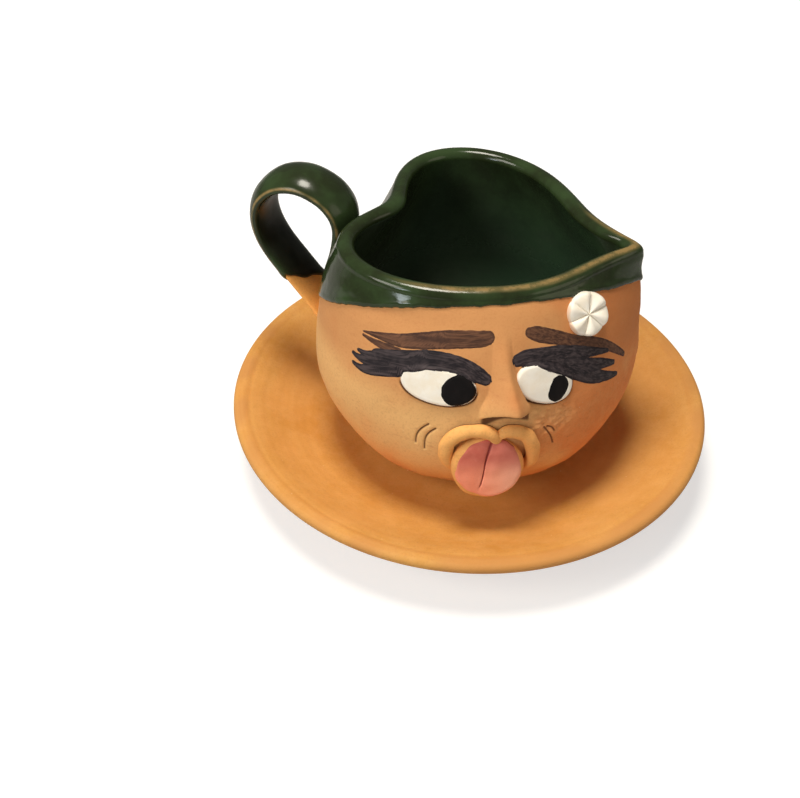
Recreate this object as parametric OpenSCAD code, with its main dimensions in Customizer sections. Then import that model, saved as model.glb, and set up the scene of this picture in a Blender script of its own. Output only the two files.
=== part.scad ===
// Hand-modelled clay face cup with a heart-shaped glazed rim, a strap handle and its saucer.
// Lengths are in millimetres and angles in degrees. +Z is up, the face looks along -Y,
// and the origin is the centre of the saucer's underside.

/* [Saucer] */
// Outer radius of the saucer
saucer_r = 59.8; // [54:0.2:72]
// Height of the saucer's edge above the table
saucer_h = 15.4; // [12:0.2:18]
// Height of the flat floor that the cup stands on
seat_z = 6; // [5:0.5:8]
// Radius of the flat floor
seat_r = 29; // [26:1:34]
// Width of the band that turns up at the edge
lip_band_w = 4.6; // [3:0.2:8]
// Height by which the band stands above the dish inside it
lip_band_rise = 1.2; // [0.6:0.1:2]
// Thickness of the rounded edge
edge_t = 2.8; // [2.4:0.2:5]
// Outer radius of the ring that the saucer rests on
rest_r = 31; // [27:1:36]
// Width of the ring that the saucer rests on
rest_w = 7; // [4:0.5:10]
// Depth of the hollow inside that ring
rest_hollow = 1.2; // [0.6:0.1:2]
// Height of the ring's outer step
rest_step = 1.6; // [1:0.2:3]

/* [Cup] */
// Height of the cup from its foot to its rim
cup_h = 58; // [50:1:68]
// Offset of the cup to the right on its saucer
cup_x = 0.6; // [0:0.2:3]
// Radius of the foot
foot_r = 22.8; // [18:0.5:26]
// Largest radius of the belly
belly_r = 39; // [34:0.5:46]
// Height of the belly above the foot
belly_z = 25.5; // [20:0.5:32]
// Radius that the round pot would have at its rim before it is pinched
neck_r = 32.5; // [28:0.5:36]
// Fullness of the curve below the belly, where 2 is an ellipse
low_fullness = 1.87; // [1.6:0.05:2.6]
// Thickness of the wall
wall_t = 3; // [2.2:0.1:4]
// Thickness of the base inside the cup
base_t = 4.5; // [3.5:0.1:6]
// Radius of the curve between the inside wall and the floor
floor_fillet = 3; // [1.5:0.5:5]
// Width of the flat foot ring
foot_ring_w = 4.2; // [3:0.2:8]
// Depth of the hollow under the foot
foot_hollow = 1.4; // [0.6:0.1:2]

/* [Heart-shaped rim] */
// Height above the foot where the heart shape starts
heart_z = 8; // [4:1:20]
// Radius of the rim before it is pressed in
lobe_r = 41.8; // [38:0.2:44]
// Direction of the heart's tip
tip_a = -13.4; // [-30:0.2:10]
// Reach of the tip
tip_reach = 12.7; // [6:0.1:14]
// Angular width of the tip
tip_w = 14.4; // [10:0.2:20]
// Direction of the notch between the lobes
notch_a = 143.4; // [130:0.2:160]
// Depth of the notch
notch_press = 15.2; // [6:0.1:17]
// Angular width of the notch
notch_w = 30; // [22:0.5:36]
// Direction in which the forehead is pressed in
front_a = 264.8; // [255:0.2:280]
// Depth of the press at the forehead
front_press = 17.7; // [10:0.1:19]
// Angular width of the press at the forehead
front_w = 79.7; // [60:0.5:90]
// Direction in which the back is pressed in
back_a = 15.9; // [5:0.2:25]
// Depth of the press at the back
back_press = 14.2; // [8:0.1:16]
// Angular width of the press at the back
back_w = 61; // [50:0.5:75]

/* [Glaze] */
// Distance of the glaze line below the rim, at the middle of the cup
glaze_drop = 15.2; // [14:0.2:20]
// Rise of the glaze line toward the face, per unit of length
dip_front_slope = 0.517; // [0.4:0.01:0.52]
// Rise of the glaze line toward the heart's tip, per unit of length
dip_side_slope = 0.034; // [0:0.002:0.05]
// Thickness of the glaze
glaze_t = 0.4; // [0.3:0.05:0.6]
// Clearance between glaze and clay
glaze_gap = 0.05; // [0.03:0.01:0.1]

/* [Handle] */
// Direction of the handle
handle_a = 153.5; // [146:0.5:160]
// Width of the strap
strap_w = 12; // [9:0.5:15]
// Thickness of the strap along its middle
strap_t = 3.4; // [2.4:0.1:5]
// Thickness of the strap at its edges
strap_edge_t = 1.8; // [1.2:0.1:3]
// Distance from the cup's axis to the loop's inner leg
loop_root_r = 34.6; // [32:0.2:38]
// Reach of the loop from there
loop_reach = 21.2; // [18:0.2:26]
// Height above the foot of the loop's lower end
loop_low_z = 25.5; // [20:0.5:28]
// Height of the loop from its lower end to its top
loop_rise = 35.6; // [30:0.2:42]

/* [Face] */
// Clearance of the pieces that are luted to the wall
slip_gap = 0.12; // [0.1:0.01:0.2]
// Length of the nose
nose_l = 16; // [12:0.5:18]
// Height of the nose's underside above the lip's arch
nose_lift = 1.3; // [1:0.1:2]
// Width of the nose at its wings
nose_w = 9.6; // [7:0.2:12]
// Height of the nose's tip off the wall
nose_rise = 5.2; // [3:0.1:6.5]
// Width of the mouth
mouth_w = 19.6; // [16:0.2:21]
// Height of the lip's arch above the middle of the mouth
lip_arch = 7.8; // [6:0.1:8.4]
// Thickness of the lip's roll
lip_t = 3.2; // [2.4:0.1:3.6]
// Radius of the tongue
tongue_r = 7.9; // [6.5:0.1:8]
// Thickness of the tongue
tongue_t = 3; // [2:0.1:4]
// Depth of the groove in the tongue
tongue_groove = 0.6; // [0.3:0.05:1]
// Thickness of the pink coat on the tongue
tongue_coat_t = 0.3; // [0.2:0.05:0.5]
// Width of the left eye
left_eye_w = 17; // [13:0.5:18]
// Height of the left eye
left_eye_h = 7.4; // [6:0.2:8]
// Width of the right eye
right_eye_w = 13.8; // [11:0.2:15]
// Height of the right eye
right_eye_h = 7.8; // [6:0.2:8.2]
// Thickness of the eyes
eye_t = 0.7; // [0.5:0.05:1.2]
// Width of the left pupil
left_pupil_w = 7.4; // [5:0.2:8]
// Width of the right pupil
right_pupil_w = 4.6; // [3.5:0.2:5.6]
// Height of the pupils
pupil_h = 5.6; // [4:0.2:6]
// Thickness of the painted slip
paint_t = 0.3; // [0.2:0.05:0.5]
// Width of the brow strokes
brow_w = 3.2; // [2:0.1:3.6]
// Width of the lash strokes
lash_w = 4; // [2.5:0.1:4.4]
// Radius of the flower button
flower_r = 5.1; // [4:0.1:5.4]
// Thickness of the flower button at its middle
flower_t = 2.4; // [1.6:0.1:3]

/* [Hidden] */

terracotta = [0.86, 0.58, 0.28];
clay = [0.78, 0.52, 0.32];
lip_clay = [0.84, 0.60, 0.34];
bottle_green = [0.08, 0.17, 0.10];
slip_white = [0.93, 0.91, 0.85];
slip_black = [0.10, 0.09, 0.10];
slip_brown = [0.22, 0.15, 0.13];
tongue_pink = [0.86, 0.48, 0.43];

face_a = 270;
tip_fullness = 1.1;
tip_round_a = 1.5;
heart_fade = 2;
// Step in height and in angle over which slopes are taken
step_z = cup_h / 120;
step_a = 0.5;
slope_a = 5;

around = 60;
below_rings = 11;
band_rings = 3;
lip_rings = 5;
inside_rings = 8;
lip_h = wall_t / 2;

// The pot's outer surface

function turn(a, b) = (a - b + 540) % 360 - 180;
function bell(a, middle, width, power) =
    exp(-pow(sqrt(pow(turn(a, middle), 2) + pow(tip_round_a, 2)) / width, power));

function tip_part(a) = tip_reach * bell(a, tip_a, tip_w, tip_fullness);
function press_part(a) = notch_press * bell(a, notch_a, notch_w, 2)
    + front_press * bell(a, front_a, front_w, 2)
    + back_press * bell(a, back_a, back_w, 2);
function rim_r(a) = lobe_r + tip_part(a) - press_part(a);

low_z = belly_z / pow(1 - pow(foot_r / belly_r, low_fullness), 1 / low_fullness);
high_z = (cup_h - belly_z) / sqrt(1 - pow(neck_r / belly_r, 2));
function round_r(z) = z < belly_z
    ? belly_r * pow(1 - pow((belly_z - z) / low_z, low_fullness), 1 / low_fullness)
    : belly_r * sqrt(1 - pow((z - belly_z) / high_z, 2));

function heart_share(z) = pow(max(0, z - heart_z) / (cup_h - heart_z), heart_fade);
function wall_r(a, z) = round_r(max(z, 0)) + heart_share(z) * (rim_r(a) - neck_r);

function polar(a, r, z) = [r * cos(a), r * sin(a), z];
function outside(a, z) = polar(a, wall_r(a, z), z);
function unit(v) = v / norm(v);
function wall_normal(a, z) = unit(cross(
    outside(a + step_a, z) - outside(a - step_a, z),
    outside(a, z + step_z) - outside(a, z - step_z)));
function on_wall(a, z, h) = outside(a, z) + h * wall_normal(a, z);

// Point on the wall that lies u to the right and v above the point at angle a and height z
function face_a_of(a, z, u) = a + u / wall_r(a, z) * 180 / PI;
function face_point(a, z, u, v, h) = on_wall(face_a_of(a, z, u), z + v, h);

// Thickness of the wall measured along the radius
function slope_around(a, z) = let (r = wall_r(a, z), arc = r * slope_a * PI / 180)
    (pow(wall_r(a + slope_a, z) - r, 2) + pow(r - wall_r(a - slope_a, z), 2)) / 2 / pow(arc, 2);
function slope_up(a, z) =
    pow((wall_r(a, z + step_z) - wall_r(a, z - step_z)) / (2 * step_z), 2);
function wall_depth(a, z) = wall_t * sqrt(1 + slope_around(a, z) + slope_up(a, z));

// Height of the glaze line round the cup, found by closing in on it
dip_z = cup_h - glaze_drop;
function dip_at(a, z, times) = times == 0 ? z
    : let (p = outside(a, z), target = dip_z - dip_front_slope * p[1] + dip_side_slope * p[0])
      dip_at(a, (z + target) / 2, times - 1);
lip_z = cup_h - lip_h;
least_band = lip_h / 2;
function dip_line(a) = min(dip_at(a, dip_z, 16), lip_z - least_band);

// Rings of the clay, each lifted off it by h. The angle says which way it lifts.

// Directions of the rings' points, closer together at the tip and at the notch
crowding = 8;
angles = [for (i = [0:around - 1]) let (a = i * 360 / around) tip_a + a - crowding * sin(2 * a)];

function lifted(a, r, z, lift_a, h) = polar(a, r + h * cos(lift_a), z + h * sin(lift_a));
function wall_ring(zs, h) = [for (i = [0:around - 1])
    lifted(angles[i], wall_r(angles[i], zs[i]), zs[i], 0, h)];
function below_ring(t) = wall_ring([for (a = angles) t * dip_line(a)], 0);
function band_ring(t, h) = wall_ring(
    [for (a = angles) let (d = dip_line(a)) d + t * (lip_z - d)], h);
function rim_ring(t, h) = [for (a = angles)
    let (half = wall_depth(a, lip_z) / 2, turned = 180 * t,
        r = wall_r(a, lip_z) - half + half * cos(turned))
    lifted(a, r, lip_z + lip_h * sin(turned), turned, h)];
inside_low_z = base_t + floor_fillet;
// A coat inside lifts sideways, and turns upward only close to the floor
fillet_turn = 45;
fillet_late = 8;
function inside_ring(t, h) = [for (a = angles)
    let (z = lip_z + t * (inside_low_z - lip_z))
    lifted(a, wall_r(a, z) - wall_depth(a, z), z, 180 - fillet_turn * pow(t, fillet_late), h)];
function floor_ring(share, z, h) = [for (a = angles)
    let (r = wall_r(a, inside_low_z) - wall_depth(a, inside_low_z))
    lifted(a, r * share, z, 90, h)];
function flat_ring(r, z) = [for (a = angles) polar(a, r, z)];

// Shares of the floor's radius and of the fillet's height
fillet_shares = [[0.88, 0.24], [0.66, 0]];
function inside_skin(h) = concat(
    [for (i = [1:lip_rings]) rim_ring(i / lip_rings, h)],
    [for (i = [1:inside_rings]) inside_ring(i / inside_rings, h)],
    [for (s = fillet_shares) floor_ring(s[0], base_t + s[1] * floor_fillet, h)]);
function band_skin(h) = concat(
    [for (i = [0:band_rings - 1]) band_ring(i / band_rings, h)],
    [rim_ring(0, h)]);

function reversed(list) = [for (i = [len(list) - 1:-1:0]) list[i]];
function flat(list) = [for (ring = list) each ring];

// Two triangles between neighbours a, b on one ring and c, d on the next. A layer that
// runs backwards over another is split the other way, so that both bend alike.
function split(a, b, c, d, backwards) = backwards ? [[a, c, d], [a, d, b]] : [[a, c, b], [b, c, d]];

// Closed skin over a row of rings, with a point at each end
module skin(rings, first, last, backward_rings = 0) {
    n = len(rings[0]);
    m = len(rings);
    start = [for (i = [0:n - 1]) [0, 1 + i, 1 + (i + 1) % n]];
    sides = [for (k = [0:m - 2], i = [0:n - 1])
        let (a = 1 + k * n + i, b = 1 + k * n + (i + 1) % n)
        each split(a, b, a + n, b + n, k < backward_rings - 1)];
    end = [for (i = [0:n - 1]) [1 + m * n, 1 + (m - 1) * n + (i + 1) % n, 1 + (m - 1) * n + i]];
    polyhedron(concat([first], flat(rings), [last]), concat(start, sides, end), convexity = 8);
}

// Closed skin over rings that come back to the first one
module sleeve(rings, backward_rings = 0) {
    n = len(rings[0]);
    m = len(rings);
    sides = [for (k = [0:m - 1], i = [0:n - 1])
        let (a = k * n + i, b = k * n + (i + 1) % n, c = (k + 1) % m * n + i,
            d = (k + 1) % m * n + (i + 1) % n)
        each split(a, b, c, d, k < backward_rings - 1)];
    polyhedron(flat(rings), sides, convexity = 8);
}

module on_saucer() translate([cup_x, 0, seat_z]) children();

// Saucer

dish_steps = 10;
edge_steps = 8;
under_steps = 8;
edge_z = saucer_h - edge_t / 2;
edge_mid_r = saucer_r - edge_t / 2;
dish_r = edge_mid_r - lip_band_w;
dish_z = saucer_h - lip_band_rise;
dish_bend = 1.7;
under_bend = 1.35;

module saucer() {
    color(terracotta) rotate_extrude($fn = 96) polygon(concat(
        [[0, rest_hollow], [rest_r - rest_w, rest_hollow], [rest_r - rest_w + rest_hollow / 2, 0],
            [rest_r - rest_hollow / 2, 0], [rest_r, rest_hollow / 2]],
        [for (i = [0:under_steps - 1]) let (s = i / under_steps)
            [rest_r + s * (edge_mid_r - rest_r),
                rest_step + pow(s, under_bend) * (edge_z - edge_t / 2 - rest_step)]],
        [for (i = [0:edge_steps]) let (a = -90 + 180 * i / edge_steps)
            [edge_mid_r + edge_t / 2 * cos(a), edge_z + edge_t / 2 * sin(a)]],
        [for (i = [0:dish_steps]) let (s = 1 - i / dish_steps)
            [seat_r + s * (dish_r - seat_r), seat_z + pow(s, dish_bend) * (dish_z - seat_z)]],
        [[0, seat_z]]));
}

// Cup

module cup_body() {
    foot_rings = [flat_ring(foot_r - foot_ring_w - foot_hollow, foot_hollow),
        flat_ring(foot_r - foot_ring_w, 0)];
    rings = concat(foot_rings,
        [for (i = [0:below_rings - 1]) below_ring(i / below_rings)],
        band_skin(0), inside_skin(0));
    color(clay) on_saucer() skin(rings, [0, 0, foot_hollow], [0, 0, base_t]);
}

module cup_glaze() {
    near = glaze_gap;
    far = glaze_gap + glaze_t;
    inner = concat(band_skin(near), inside_skin(near));
    rings = concat(reversed(inner), band_skin(far), inside_skin(far));
    color(bottle_green) on_saucer()
        skin(rings, [0, 0, base_t + near], [0, 0, base_t + far], len(inner));
}

// Handle. Its path is a smooth curve through shares of the loop's reach and rise.

function curve_at(points, t) =
    let (last = len(points) - 1, i = min(floor(t * last), last - 1), f = t * last - i,
        a = points[max(i - 1, 0)], b = points[i], c = points[i + 1], d = points[min(i + 2, last)])
    0.5 * (2 * b + (c - a) * f + (2 * a - 5 * b + 4 * c - d) * f * f
        + (3 * b - a - 3 * c + d) * f * f * f);

loop_shares = [[0.14, 0.38], [0.06, 0.52], [0.01, 0.66], [0.005, 0.77], [0.066, 0.865],
    [0.22, 0.95], [0.48, 1], [0.74, 0.966], [0.934, 0.851], [1, 0.716], [0.962, 0.576],
    [0.835, 0.435], [0.6, 0.267], [0.387, 0.126], [0.19, 0]];
strap_around = 12;
strap_corner = 0.75;
path_step = 0.004;

handle_out = polar(handle_a, 1, 0);
handle_side = polar(handle_a + 90, 1, 0);
function loop_point(t) = let (p = curve_at(loop_shares, t))
    [loop_root_r + p[0] * loop_reach, loop_low_z + p[1] * loop_rise];
function loop_way(t) =
    unit(loop_point(min(1, t + path_step)) - loop_point(max(0, t - path_step)));
function rounded(x) = sign(x) * pow(abs(x), strap_corner);

// The strap thins where its end is pressed out on the wall
end_thin = 0.4;
pressed_out_share = 0.16;
function thin_share(t) = t >= pressed_out_share ? 1
    : end_thin + (1 - end_thin) * sqrt(1 - pow(1 - t / pressed_out_share, 2));

function angle_of(p) = atan2(p[1], p[0]);
function radius_of(p) = norm([p[0], p[1]]);
function clear_of_wall(p, gap) =
    let (a = angle_of(p), least = wall_r(a, p[2]) + gap)
    p[2] < cup_h && radius_of(p) < least ? polar(a, least, p[2]) : p;
// Point where a line from p along way meets the wall, found by closing in on it
search_pace = 0.7;
function to_wall(p, way, gap, times) = times == 0 ? p
    : let (a = angle_of(p), over = radius_of(p) - wall_r(a, p[2]) - gap)
      to_wall(p + way * over * search_pace, way, gap, times - 1);
wall_search = 24;

// Point i round the strap, lifted off the clay by h. Its outer face is crowned and its
// inner face flat, and along its attached end the outer face follows the wall.
coat = glaze_gap + glaze_t;
strap_gap = coat * 2 + slip_gap;
function strap_point(t, i, h) =
    let (p = loop_point(t), w = loop_way(t), a = 360 * i / strap_around, thin = thin_share(t),
        x = rounded(cos(a)), edge = strap_edge_t / 2 * thin, crown = (strap_t - strap_edge_t) * thin,
        v = (edge + h) * rounded(sin(a)) + (sin(a) > 0 ? crown * (1 - x * x) : 0),
        flat_p = p + v * [-w[1], w[0]],
        q = handle_out * flat_p[0] + [0, 0, flat_p[1]] + handle_side * (strap_w / 2 + h) * x)
    t < 0.5 ? clear_of_wall(q, strap_gap + max(0, edge + crown * (1 - x * x) - v)) : q;
low_way = let (w = loop_way(1)) handle_out * w[0] + [0, 0, w[1]];
function low_end_ring() = [for (i = [0:strap_around - 1])
    to_wall(strap_point(1, i, 0), low_way, slip_gap, wall_search)];
function strap_middle(t) = let (p = loop_point(t)) handle_out * p[0] + [0, 0, p[1]];
upper_end = clear_of_wall(strap_middle(0), strap_gap + strap_edge_t / 2);

// The glaze covers the strap from its upper end to the glaze line on its lower leg, which
// runs lower on the strap's far edge
near_glaze_share = 0.845;
far_glaze_share = 0.935;
glaze_rings = 22;
bare_rings = 4;
function glaze_end(i) = near_glaze_share
    + (far_glaze_share - near_glaze_share) * (1 - cos(360 * i / strap_around)) / 2;
function glazed_ring(k, h) = [for (i = [0:strap_around - 1])
    strap_point(k / glaze_rings * glaze_end(i), i, h)];
function bare_ring(k) = [for (i = [0:strap_around - 1]) let (from = glaze_end(i))
    strap_point(from + (1 - from) * k / bare_rings, i, 0)];

module strap_handle() {
    rings = concat([for (k = [0:glaze_rings]) glazed_ring(k, 0)],
        [for (k = [1:bare_rings - 1]) bare_ring(k)], [low_end_ring()]);
    last = to_wall(strap_middle(1), low_way, slip_gap, wall_search);
    color(clay) on_saucer() skin(rings, upper_end, last);
}

module handle_glaze() {
    rings = concat([for (k = [glaze_rings:-1:0]) glazed_ring(k, glaze_gap)],
        [for (k = [0:glaze_rings]) glazed_ring(k, coat)]);
    color(bottle_green) on_saucer() sleeve(rings, glaze_rings + 1);
}

// Face. Each piece stands off the wall by the slip gap.

// Round pad on the wall, from the lift low to the lift high. Its outline is a tilted ellipse
// and its top falls away at the edge.
pad_around = 20;
pad_shares = [0.45, 0.85, 1];
pad_edge_share = 0.4;
function tilted(u, v, tilt) = [u * cos(tilt) - v * sin(tilt), u * sin(tilt) + v * cos(tilt)];
function pad_ring(a, z, w, h, tilt, share, lift) = [for (i = [0:pad_around - 1])
    let (q = 360 * i / pad_around, p = tilted(share * w / 2 * cos(q), share * h / 2 * sin(q), tilt))
    face_point(a, z, p[0], p[1], lift)];
module pad(a, z, w, h, tilt, low, high) {
    edge_drop = (high - low) * pad_edge_share;
    bottom = [for (s = pad_shares) pad_ring(a, z, w, h, tilt, s, low)];
    top = [for (s = pad_shares) pad_ring(a, z, w, h, tilt, s, high - (s == 1 ? edge_drop : 0))];
    on_saucer() skin(concat(bottom, reversed(top)), on_wall(a, z, low), on_wall(a, z, high));
}

left_eye_a = face_a - 22.8;
right_eye_a = face_a + 17.4;
left_pupil_a = face_a - 15.6;
right_pupil_a = face_a + 22.2;
eye_z_share = 0.672;
eye_z = cup_h * eye_z_share;
mouth_z_share = 0.397;
mouth_z = cup_h * mouth_z_share;
left_eye_tilt = -3;
right_eye_tilt = -20;
right_pupil_drop_share = 0.18;
right_pupil_h_share = 0.86;
pupil_low = eye_t + slip_gap;

module left_eye() color(slip_white)
    pad(left_eye_a, eye_z, left_eye_w, left_eye_h, left_eye_tilt, slip_gap, eye_t);
module right_eye() color(slip_white)
    pad(right_eye_a, eye_z, right_eye_w, right_eye_h, right_eye_tilt, slip_gap, eye_t);
module left_pupil() color(slip_black)
    pad(left_pupil_a, eye_z, left_pupil_w, pupil_h, 0, pupil_low, pupil_low + paint_t);
module right_pupil() color(slip_black)
    pad(right_pupil_a, eye_z - right_eye_h * right_pupil_drop_share, right_pupil_w,
        pupil_h * right_pupil_h_share, right_eye_tilt, pupil_low, pupil_low + paint_t);

// Brush stroke over an eye. Each row of its shares holds a direction from the face's middle, a
// share of the eye's height above the eye's middle, and a share of the stroke's width.
stroke_rings = 10;
stroke_across = 2;
stroke_step = 0.02;
function stroke_spot(points, eye_h, t) = let (p = curve_at(points, t))
    [face_a + p[0], eye_z + eye_h * p[1], p[2]];
function stroke_ring(points, eye_h, t, w) =
    let (s = stroke_spot(points, eye_h, t),
        before = stroke_spot(points, eye_h, max(0, t - stroke_step)),
        after = stroke_spot(points, eye_h, min(1, t + stroke_step)),
        run = (after[0] - before[0]) * PI / 180 * wall_r(s[0], s[1]), rise = after[1] - before[1],
        way = unit([run, rise]), half = s[2] * w / 2)
    [for (k = [-stroke_across:stroke_across]) [s[0], s[1], way, half * k / stroke_across]];
function stroke_loop(points, eye_h, t, w, low, high) =
    let (row = stroke_ring(points, eye_h, t, w))
    concat([for (q = row) face_point(q[0], q[1], -q[2][1] * q[3], q[2][0] * q[3], low)],
        [for (q = reversed(row)) face_point(q[0], q[1], -q[2][1] * q[3], q[2][0] * q[3], high)]);
module stroke(points, eye_h, w) {
    low = slip_gap;
    high = slip_gap + paint_t;
    middle = (low + high) / 2;
    first = stroke_spot(points, eye_h, 0);
    last = stroke_spot(points, eye_h, 1);
    on_saucer() skin(
        [for (k = [0:stroke_rings]) stroke_loop(points, eye_h, k / stroke_rings, w, low, high)],
        on_wall(first[0], first[1], middle), on_wall(last[0], last[1], middle));
}

left_brow_shares = [[-56, 0.92, 0.3], [-40, 1.1, 0.7], [-24, 1.33, 1], [-10, 1.44, 1], [-4, 1.45, 0.6]];
left_lash_shares = [[-57, -0.2, 0.4], [-46, 0.27, 0.75], [-35, 0.63, 0.95], [-24, 0.82, 1],
    [-15, 0.75, 0.8], [-8.5, 0.51, 0.8], [-4.5, 0.28, 0.6]];
right_brow_shares = [[12.5, 1.44, 0.6], [21, 1.28, 0.95], [32, 0.93, 0.95], [43, 0.51, 0.9],
    [53, -0.06, 0.7], [59.5, -0.52, 0.35]];
right_lash_shares = [[6.5, 0.77, 0.6], [15, 0.83, 0.7], [25, 0.63, 0.85], [34, 0.27, 1],
    [43, -0.16, 1], [52, -0.72, 0.6]];

module left_brow() color(slip_brown) stroke(left_brow_shares, left_eye_h, brow_w);
module right_brow() color(slip_brown) stroke(right_brow_shares, right_eye_h, brow_w);
module left_lashes() color(slip_black) stroke(left_lash_shares, left_eye_h, lash_w);
module right_lashes() color(slip_black) stroke(right_lash_shares, right_eye_h, lash_w);

// Nose, as slices from the bridge down to the underside. Each row holds the share of the
// nose's length, of its half width and of its rise.
nose_a = face_a + 2;
nose_shares = [[0.03, 0.16, 0.05], [0.14, 0.24, 0.12], [0.28, 0.32, 0.24], [0.42, 0.42, 0.42],
    [0.56, 0.56, 0.68], [0.68, 0.72, 0.92], [0.77, 0.88, 1], [0.85, 1, 0.86], [0.92, 0.98, 0.5],
    [0.98, 0.86, 0.16]];
nose_across = 5;
nose_edge_share = 0.12;
nose_round = 1.5;
nose_top_z = mouth_z + lip_arch + nose_lift + nose_l;
nose_end_h = slip_gap * 1.5;
function nose_height(x, rise_share) = 2 * slip_gap + nose_rise * rise_share
    * (nose_edge_share + (1 - nose_edge_share) * pow(cos(90 * x), nose_round));
function nose_slice(row) =
    let (z = nose_top_z - row[0] * nose_l, half = row[1] * nose_w / 2)
    concat([for (k = [nose_across:-1:-nose_across]) let (x = k / nose_across)
        face_point(nose_a, z, x * half, 0, nose_height(x, row[2]))],
        [for (k = [-nose_across:nose_across]) let (x = k / nose_across)
        face_point(nose_a, z, x * half, 0, slip_gap)]);
module nose() {
    color(clay) on_saucer() skin([for (row = nose_shares) nose_slice(row)],
        on_wall(nose_a, nose_top_z, nose_end_h), on_wall(nose_a, nose_top_z - nose_l, nose_end_h));
}

// Lip, a roll of clay through shares of half the mouth's width and of the arch
mouth_a = face_a - 2.5;
lip_shares = [[-0.9, -0.55], [-1, 0.05], [-0.95, 0.6], [-0.62, 0.94], [-0.15, 0.98], [0.24, 0.74],
    [0.6, 0.87], [0.92, 0.5], [0.98, -0.1], [0.88, -0.6]];
lip_slices = 26;
lip_around = 10;
// The roll's middle stands off the wall by this share of its radius
lip_stand_share = 0.62;
lip_end_share = 0.04;
lip_end_round = 0.35;
function lip_spot(t) = let (p = curve_at(lip_shares, t)) [p[0] * mouth_w / 2, p[1] * lip_arch];
function lip_way(t) = unit(lip_spot(min(1, t + path_step)) - lip_spot(max(0, t - path_step)));
function lip_size(t) = lip_t / 2
    * pow(sin(180 * (lip_end_share + (1 - 2 * lip_end_share) * t)), lip_end_round);
function lip_ring(t) = let (p = lip_spot(t), w = lip_way(t), r = lip_size(t))
    [for (i = [0:lip_around - 1]) let (a = 360 * i / lip_around, side = r * cos(a))
        face_point(mouth_a, mouth_z, p[0] - w[1] * side, p[1] + w[0] * side,
            max(slip_gap, r * lip_stand_share + r * sin(a)))];
module lip_roll() {
    first = lip_spot(0);
    last = lip_spot(1);
    h = lip_t / 4;
    color(lip_clay) on_saucer() skin([for (k = [0:lip_slices]) lip_ring(k / lip_slices)],
        face_point(mouth_a, mouth_z, first[0], first[1], h),
        face_point(mouth_a, mouth_z, last[0], last[1], h));
}

// Discs that are pressed on the wall. A frame holds the middle of a disc's front, the ways
// to its side and to its top, and the way that its front faces.
disc_around = 30;
function disc_point(frame, u, v, h) = frame[0] + u * frame[1] + v * frame[2] + h * frame[3];
function frame_of(middle, n) = let (side = unit(cross([0, 0, 1], n)))
    [middle, side, cross(n, side), n];

// Tongue: a flattened disc that hangs out from under the lip, with a groove down its front
tongue_lean = 11;
tongue_a = face_a - 3;
tongue_drop_share = 0.2;
tongue_z = mouth_z - lip_arch * tongue_drop_share;
tongue_stand_share = 0.95;
tongue_top_share = 0.86;
tongue_back_share = 0.7;
tongue_corner = 0.8;
tongue_shares = [0.08, 0.36, 0.66, 0.86, 0.96, 1];
// The top of the tongue makes room for the lip's middle
cleft_side_share = 0.3;
cleft_w = mouth_w / 8;
cleft_drop = lip_t / 2;
function under_cleft(u) = cleft_drop * exp(-pow((u - cleft_side_share * tongue_r) / cleft_w, 2));
tongue_frame = frame_of(on_wall(tongue_a, tongue_z, tongue_t * tongue_stand_share),
    polar(tongue_a, cos(tongue_lean), sin(tongue_lean)));
// The groove leans, and fades out above the tongue's lower edge
groove_a = 75;
groove_w = tongue_groove * 2.2;
groove_low_share = -0.75;
groove_fade_share = 0.25;
function groove_at(u, v) = let (off = u * sin(groove_a) - v * cos(groove_a) + tongue_groove,
        up_share = (v / tongue_r - groove_low_share) / groove_fade_share)
    tongue_groove * exp(-pow(off / groove_w, 2)) * min(1, max(0, up_share));
function tongue_uv(share, i) = let (a = groove_a + 360 * i / disc_around, up = sin(a) > 0,
    u = share * tongue_r * (up ? sign(cos(a)) * pow(abs(cos(a)), tongue_corner) : cos(a)))
    [u, share * (up ? (tongue_r * tongue_top_share - under_cleft(u)) * pow(sin(a), tongue_corner)
        : tongue_r * sin(a))];
tongue_flat_share = 0.7;
function edge_round(share) =
    1 - sqrt(1 - pow(max(0, share - tongue_flat_share) / (1 - tongue_flat_share), 2));
function tongue_front(p, share, h) = disc_point(tongue_frame, p[0], p[1],
    h - groove_at(p[0], p[1]) - tongue_t / 2 * edge_round(share));
function tongue_ring(share, h) = [for (i = [0:disc_around - 1])
    tongue_front(tongue_uv(share, i), share, h)];
function tongue_back(p, share) = clear_of_wall(
    disc_point(tongue_frame, p[0], p[1], -tongue_t * (share == 1 ? tongue_back_share : 1)), slip_gap);
module tongue() {
    front = [for (s = tongue_shares) tongue_ring(s, 0)];
    back = [for (s = tongue_shares) [for (i = [0:disc_around - 1]) tongue_back(tongue_uv(s, i), s)]];
    color(lip_clay) on_saucer() skin(concat(back, reversed(front)),
        tongue_back([0, 0], 0), tongue_front([0, 0], 0, 0));
}
coat_shares = [0.08, 0.36, 0.66, 0.86];
module tongue_coat() {
    low = [for (s = coat_shares) tongue_ring(s, glaze_gap)];
    high = [for (s = coat_shares) tongue_ring(s, glaze_gap + tongue_coat_t)];
    color(tongue_pink) on_saucer() skin(concat(low, reversed(high)),
        tongue_front([0, 0], 0, glaze_gap), tongue_front([0, 0], 0, glaze_gap + tongue_coat_t),
        len(low));
}

// Flower button: a stamped disc with six creases that run from its middle to its edge
flower_a = face_a + 41.6;
// It sits on the upper edge of the right brow
brow_at_flower_share = 0.6;
flower_z = eye_z + right_eye_h * brow_at_flower_share + brow_w / 2 + flower_r;
petals = 6;
crease_a = 12;
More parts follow.
